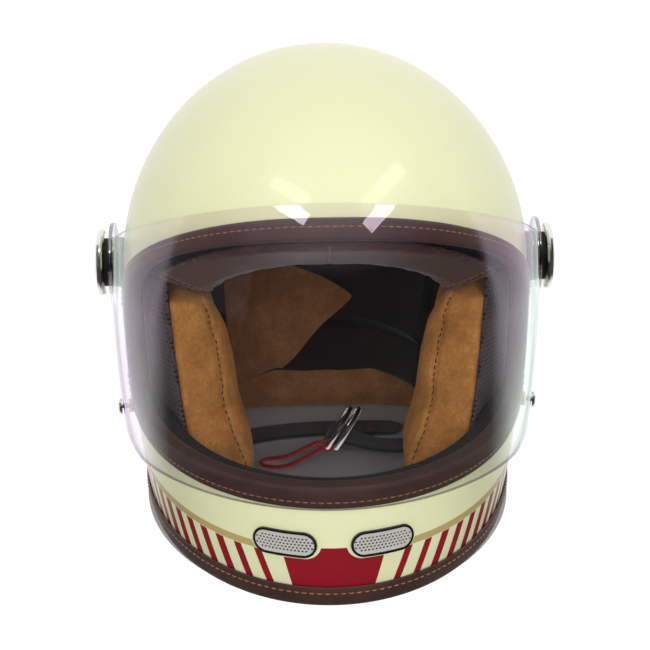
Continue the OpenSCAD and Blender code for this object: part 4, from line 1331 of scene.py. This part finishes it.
# ---------------------------------------------------------------- vents
def build_grilles():
    """Perforated steel: staggered round holes in a plate that follows the bend of the chin bar."""
    length, height, pitch, hole, bend = VENT_L - 2.8, VENT_H - 2.8, 2.05, 0.62, 88.0
    for word, side in SIDES.items():
        plate = fix_normals(prism("vent_mesh_" + word, pill_outline(length, height, 24), 0.7, 1.3))
        verts, faces = [], []
        for row in range(-3, 4):
            for k in range(-9, 10):
                x, y = (k + 0.5 * (row % 2)) * pitch, row * pitch * 0.87
                reach = math.hypot(max(abs(x) - (length - height) / 2, 0), y)
                if reach > height / 2 - hole - 0.25:
                    continue
                start = len(verts)
                for z in (-2, 2):
                    verts += [(x + hole * math.cos(t), y + hole * math.sin(t), z) for t in np.arange(12) * math.pi / 6]
                faces += [tuple(start + v for v in (j, (j + 1) % 12, 12 + (j + 1) % 12, 12 + j)) for j in range(12)]
                faces += [tuple(start + j for j in range(11, -1, -1)), tuple(start + 12 + j for j in range(12))]
        cut(plate, [new_object("tool", verts, faces)])
        mesh = bmesh.new()
        mesh.from_mesh(plate.data)
        for x in np.arange(-16, 16.1, 2.0):
            geometry = list(mesh.verts) + list(mesh.edges) + list(mesh.faces)
            bmesh.ops.bisect_plane(mesh, geom=geometry, plane_co=(x * MM, 0, 0), plane_no=(1, 0, 0))
        bmesh.ops.triangulate(mesh, faces=mesh.faces)
        mesh.to_mesh(plate.data)
        mesh.free()
        points = mesh_points(plate)
        turned = points[:, 0] / bend
        set_points(plate, np.stack([(bend + points[:, 2]) * np.sin(turned), points[:, 1],
                                    (bend + points[:, 2]) * np.cos(turned) - bend], -1))
        plate.data.transform(skin_frame(side, VENT_ANGLE, VENT_Z))
        plate.data.shade_flat()
        dress(plate, MATERIALS["brushed"], "root", "grille_steel", "vent_grille_" + word)


build_grilles()


# ---------------------------------------------------------------- visor
def tab_rise(a):
    y = np.where(cosd(a) > 0, BROW_REACH + VISOR_OFF, REAR_REACH + VISOR_OFF) * -cosd(a)
    return np.sqrt(np.maximum(0, TAB_R**2 - y**2))


def visor_edges(a):
    u = np.abs(a)
    high = np.maximum(218.5 - 68 * (u / 90) ** 2.1, PIVOT_Z + tab_rise(u))
    drop = (VISOR_LOW_Z - VISOR_CORNER_Z) * (np.minimum(u, 60) / 60) ** 2.4
    climb = (PIVOT_Z - VISOR_CORNER_Z) * smooth((u - VISOR_CORNER_ANGLE) / (98 - VISOR_CORNER_ANGLE))
    sweep = VISOR_LOW_Z - drop + climb
    return np.where(u > 90, PIVOT_Z - tab_rise(u), sweep), high


def visor_skin(a, z, off):
    bow = VISOR_BOW * np.maximum(0, cosd(a)) ** 2 * np.maximum(0, sind(180 * (z - BOW_LOW_Z) / BOW_SPAN))
    p = skin(a, z, off + bow)
    near = smooth((36 - np.hypot(p[..., 1] - PIVOT_Y, p[..., 2] - PIVOT_Z)) / 16)
    p[..., 0] = np.where(np.abs(a) < 50, p[..., 0], mix(p[..., 0], (SHELL_W / 2 + off) * np.sign(a), near))
    return p


def build_visor():
    corner = 23.2 * (1 - cosd(90 * np.arange(1, 31) / 30))
    cols = np.concatenate([-(74 + corner)[::-1], np.linspace(-74, 74, 141), 74 + corner])
    rows = np.linspace(0, 1, 72)

    def grid(off):
        return np.array([visor_skin(a, mix(*visor_edges(a), rows), off) for a in cols])

    visor = fix_normals(slab("visor_clear", grid(VISOR_OFF), grid(VISOR_OFF - VISOR_T)))
    tools = [rod(side_frame(side), VISOR_BORE_R, 40, 200) for side in (-1, 1)]
    tools += [rod(skin_frame(side, STUD_ANGLE, STUD_Z, VISOR_OFF), STUD_BORE_R, -10, 10, 24) for side in (-1, 1)]
    cut(visor, tools)
    sharpen(visor, 35)
    dress(visor, [MATERIALS["visor"], MATERIALS["visor_edge"]], "visor", "visor_clear", "visor")
    # A face belongs to the cut edge where a step along its normal hardly changes the distance from the shell
    normals, centres, step = np.array([face.normal for face in visor.data.polygons]), face_centres(visor), 0.4
    moved = offset_of(centres + normals * step)
    second_material(visor, np.abs(moved - offset_of(centres)) < 0.45 * step)


build_visor()


# ---------------------------------------------------------------- webbing
STRAP_W, STRAP_T = 22.0, 2.0
HINGE_X, HINGE_Y, HINGE_Z = 80.5, 37.0, 4.4


def band(name, stations, width, thick, count, edge=0.5):
    """Flat band with rounded edges. A station is a centre and a direction across; thick is a number per station."""
    stations = np.asarray([np.concatenate([c, a, [t]]) for (c, a), t in zip(stations, thick)])
    line = curve_points(stations, count)
    centre, across, t = line[:, :3], unit(line[:, 3:6]), line[:, 6:7]
    along = unit(np.gradient(centre, axis=0))
    across = unit(across - np.sum(across * along, -1, keepdims=True) * along)
    up = unit(np.cross(along, across))
    ring = [(s * width / 2, 0.5 * (1 - abs(s) ** 10 * edge)) for s in np.linspace(-1, 1, 12)]
    ring += [(x, -y) for x, y in ring[::-1]]
    sections = np.stack([centre + across * x + up * t * y for x, y in ring], 1)
    obj = fix_normals(loft(name, sections))
    distance = run_length(centre)
    points = mesh_points(obj)
    nearest = np.argmin(((points[:, None, :] - centre[None, ::2]) ** 2).sum(-1), axis=1) * 2
    set_attribute(obj, "arc", distance[nearest] + np.sum((points - centre[nearest]) * along[nearest], -1))
    set_attribute(obj, "height", np.sum((points - centre[nearest]) * across[nearest], -1))
    return obj


def anchor_stations(side):
    """From the rivet down inside the shell and round the edge of the cheek pad, as in the CAD model."""
    top = skin(side * ANCHOR_ANGLE, ANCHOR_Z, -SHELL_T - 4.8) + np.array([0, 0, 9])
    low = skin(side * ANCHOR_ANGLE, 13.0, -SHELL_T - 5)
    route = [top, (top + low) / 2, low, (side * 94.5, 38.4, 8.2), (side * 88.5, 37.4, 5.2),
             (side * (HINGE_X + 1.6), HINGE_Y, HINGE_Z)]
    return [(np.asarray(p, float), np.array([mix(-0.24, 0, min(k / 3, 1)), side, 0.0]) * side)
            for k, p in enumerate(route)]


def round_tip(strap, centre):
    """Narrows the band beyond centre, so that its free end is a half-round."""
    points, radius = mesh_points(strap), (STRAP_W - 0.6) / 2
    beyond = points[:, 0] > centre[0]
    reach = np.clip((points[beyond, 0] - centre[0]) / radius, 0, 0.995)
    points[beyond, 1] = centre[1] + (points[beyond, 1] - centre[1]) * np.sqrt(1 - reach**2)
    set_points(strap, points)


def build_straps():
    left = [((78.9, 37, 4.4), (0.1, 1, 0)), ((68, 32, 4.4), (-0.25, 1, 0)), ((54, 25.5, 6), (-0.3, 1, 0)),
            ((40, 19.5, 9.2), (-0.25, 1, 0)), ((28, 16.2, 13), (0, 1, 0)), ((20, 15.6, 15.8), (0.15, 1, 0)),
            ((12.9, 16.9, 16.9), (0.21, 1, 0))]
    right = [((-78.9, 37, 4.4), (0.1, 1, 0)), ((-66, 42, 3), (-0.35, 1, 0)), ((-50, 50, 2.4), (-0.4, 1, 0)),
             ((-30, 56.5, 2.4), (-0.25, 1, 0)), ((-8, 60, 2.4), (-0.1, 1, 0)), ((14, 61, 2.4), (0, 1, 0)),
             ((34, 60.5, 2.4), (0.04, 1, 0)), ((52, 60, 2.4), (0, 1, 0))]
    for word, side, free in (("left", 1, left), ("right", -1, right)):
        stations = anchor_stations(side) + [(np.array(c, float), np.array(d, float)) for c, d in free]
        thick = [STRAP_T] * 6 + [2.4] * len(free)
        strap = band("webbing_" + word, stations, STRAP_W - 0.6, thick, 220)
        if word == "right":
            round_tip(strap, np.array([41.5, 60.0]))
        cut(strap, [rod(skin_frame(side, ANCHOR_ANGLE, ANCHOR_Z), RIVET_BORE_R, -30, 30, 32)])
        dress(strap, MATERIALS["webbing"], None, "webbing_black", "strap_anchor_" + word, "strap_" + word)
        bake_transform(strap)
    build_sleeve()
    build_bartacks()


FOLD = (4 + 5.5 / 2, 18.0, 17.0)
FOLD_TURN = math.radians(-12)


def at_fold(points):
    """Points given from the middle of the folded end, which is turned a little."""
    c, s = math.cos(FOLD_TURN), math.sin(FOLD_TURN)
    p = np.asarray(points, float)
    x, y, z = p[..., 0], p[..., 1], p[..., 2]
    return np.stack([FOLD[0] + x * c - y * s, FOLD[1] + x * s + y * c, FOLD[2] + z], -1)


def build_sleeve():
    """The webbing's folded end, round the bars of both rings, and the doubled run behind it."""
    outer, inner = pill_outline(5.5 + 8.4, 8.4, 16), pill_outline(5.5 + 4.2, 4.2, 16)
    ys = np.linspace(-STRAP_W / 2 + 0.3, STRAP_W / 2 - 0.3, 24)
    m = len(outer)
    points, faces = [], []
    for outline in (outer, inner):
        for y in ys:
            points += [(u, y, v) for u, v in outline]
    n = len(ys)
    for s in (0, 1):
        for i in range(n - 1):
            for j in range(m):
                q = (j + 1) % m
                faces.append(tuple(s * n * m + v for v in (i * m + j, i * m + q, (i + 1) * m + q, (i + 1) * m + j)))
    for i in (0, n - 1):
        for j in range(m):
            q = (j + 1) % m
            faces.append((i * m + j, i * m + q, n * m + i * m + q, n * m + i * m + j))
    sleeve = fix_normals(new_object("webbing_sleeve", np.array(points), faces))
    p = mesh_points(sleeve)
    set_attribute(sleeve, "arc", np.arctan2(p[:, 2], p[:, 0]) * 5)
    set_attribute(sleeve, "height", p[:, 1])
    set_points(sleeve, at_fold(p))
    dress(sleeve, MATERIALS["webbing"], "strap_left", "webbing_black")


def build_bartacks():
    """Close zigzags of thread: red on the free end's keeper, dark on the fold that holds the rings."""
    across = np.linspace(-7.0, 7.0, 30)
    up = np.tile([0.0, 0.0, 1.0], (30, 1))
    red = [(np.stack([np.full(30, 30 + 1.1 * k), 61 + across, np.full(30, 3.7)], -1), up) for k in (-1, 0, 1)]
    sew("bartack_red", red, "red_braid", "strap_right")
    fold = [(at_fold(np.stack([np.full(30, 9.5 + 1.1 * k), across, np.full(30, 1.0 - 0.2 * k)], -1)), up)
            for k in (-1, 0, 1)]
    sew("bartack_fold", fold, "dark_thread", "strap_left")


build_straps()


# ---------------------------------------------------------------- finishes of the CAD nodes that stay
def finish_nodes():
    looks = {"pivot_knob": "chrome", "knob_cap": "brass", "pivot_washer": "rubber", "pivot_bush": "plastic",
             "pivot_insert": "brass", "stud_base": "brass", "stud_cap": "chrome", "strap_plate": "steel",
             "strap_rivet": "steel", "d_ring": "steel", "vent_bezel": "bezel", "vent_filter": "filter",
             "liner_studs": "plastic", "cord_hitch": "red_braid"}
    for name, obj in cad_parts.items():
        for start, look in looks.items():
            if name.startswith(start):
                for slot in obj.material_slots:
                    slot.material = MATERIALS[look]
                if not obj.material_slots:
                    obj.data.materials.append(MATERIALS[look])


finish_nodes()
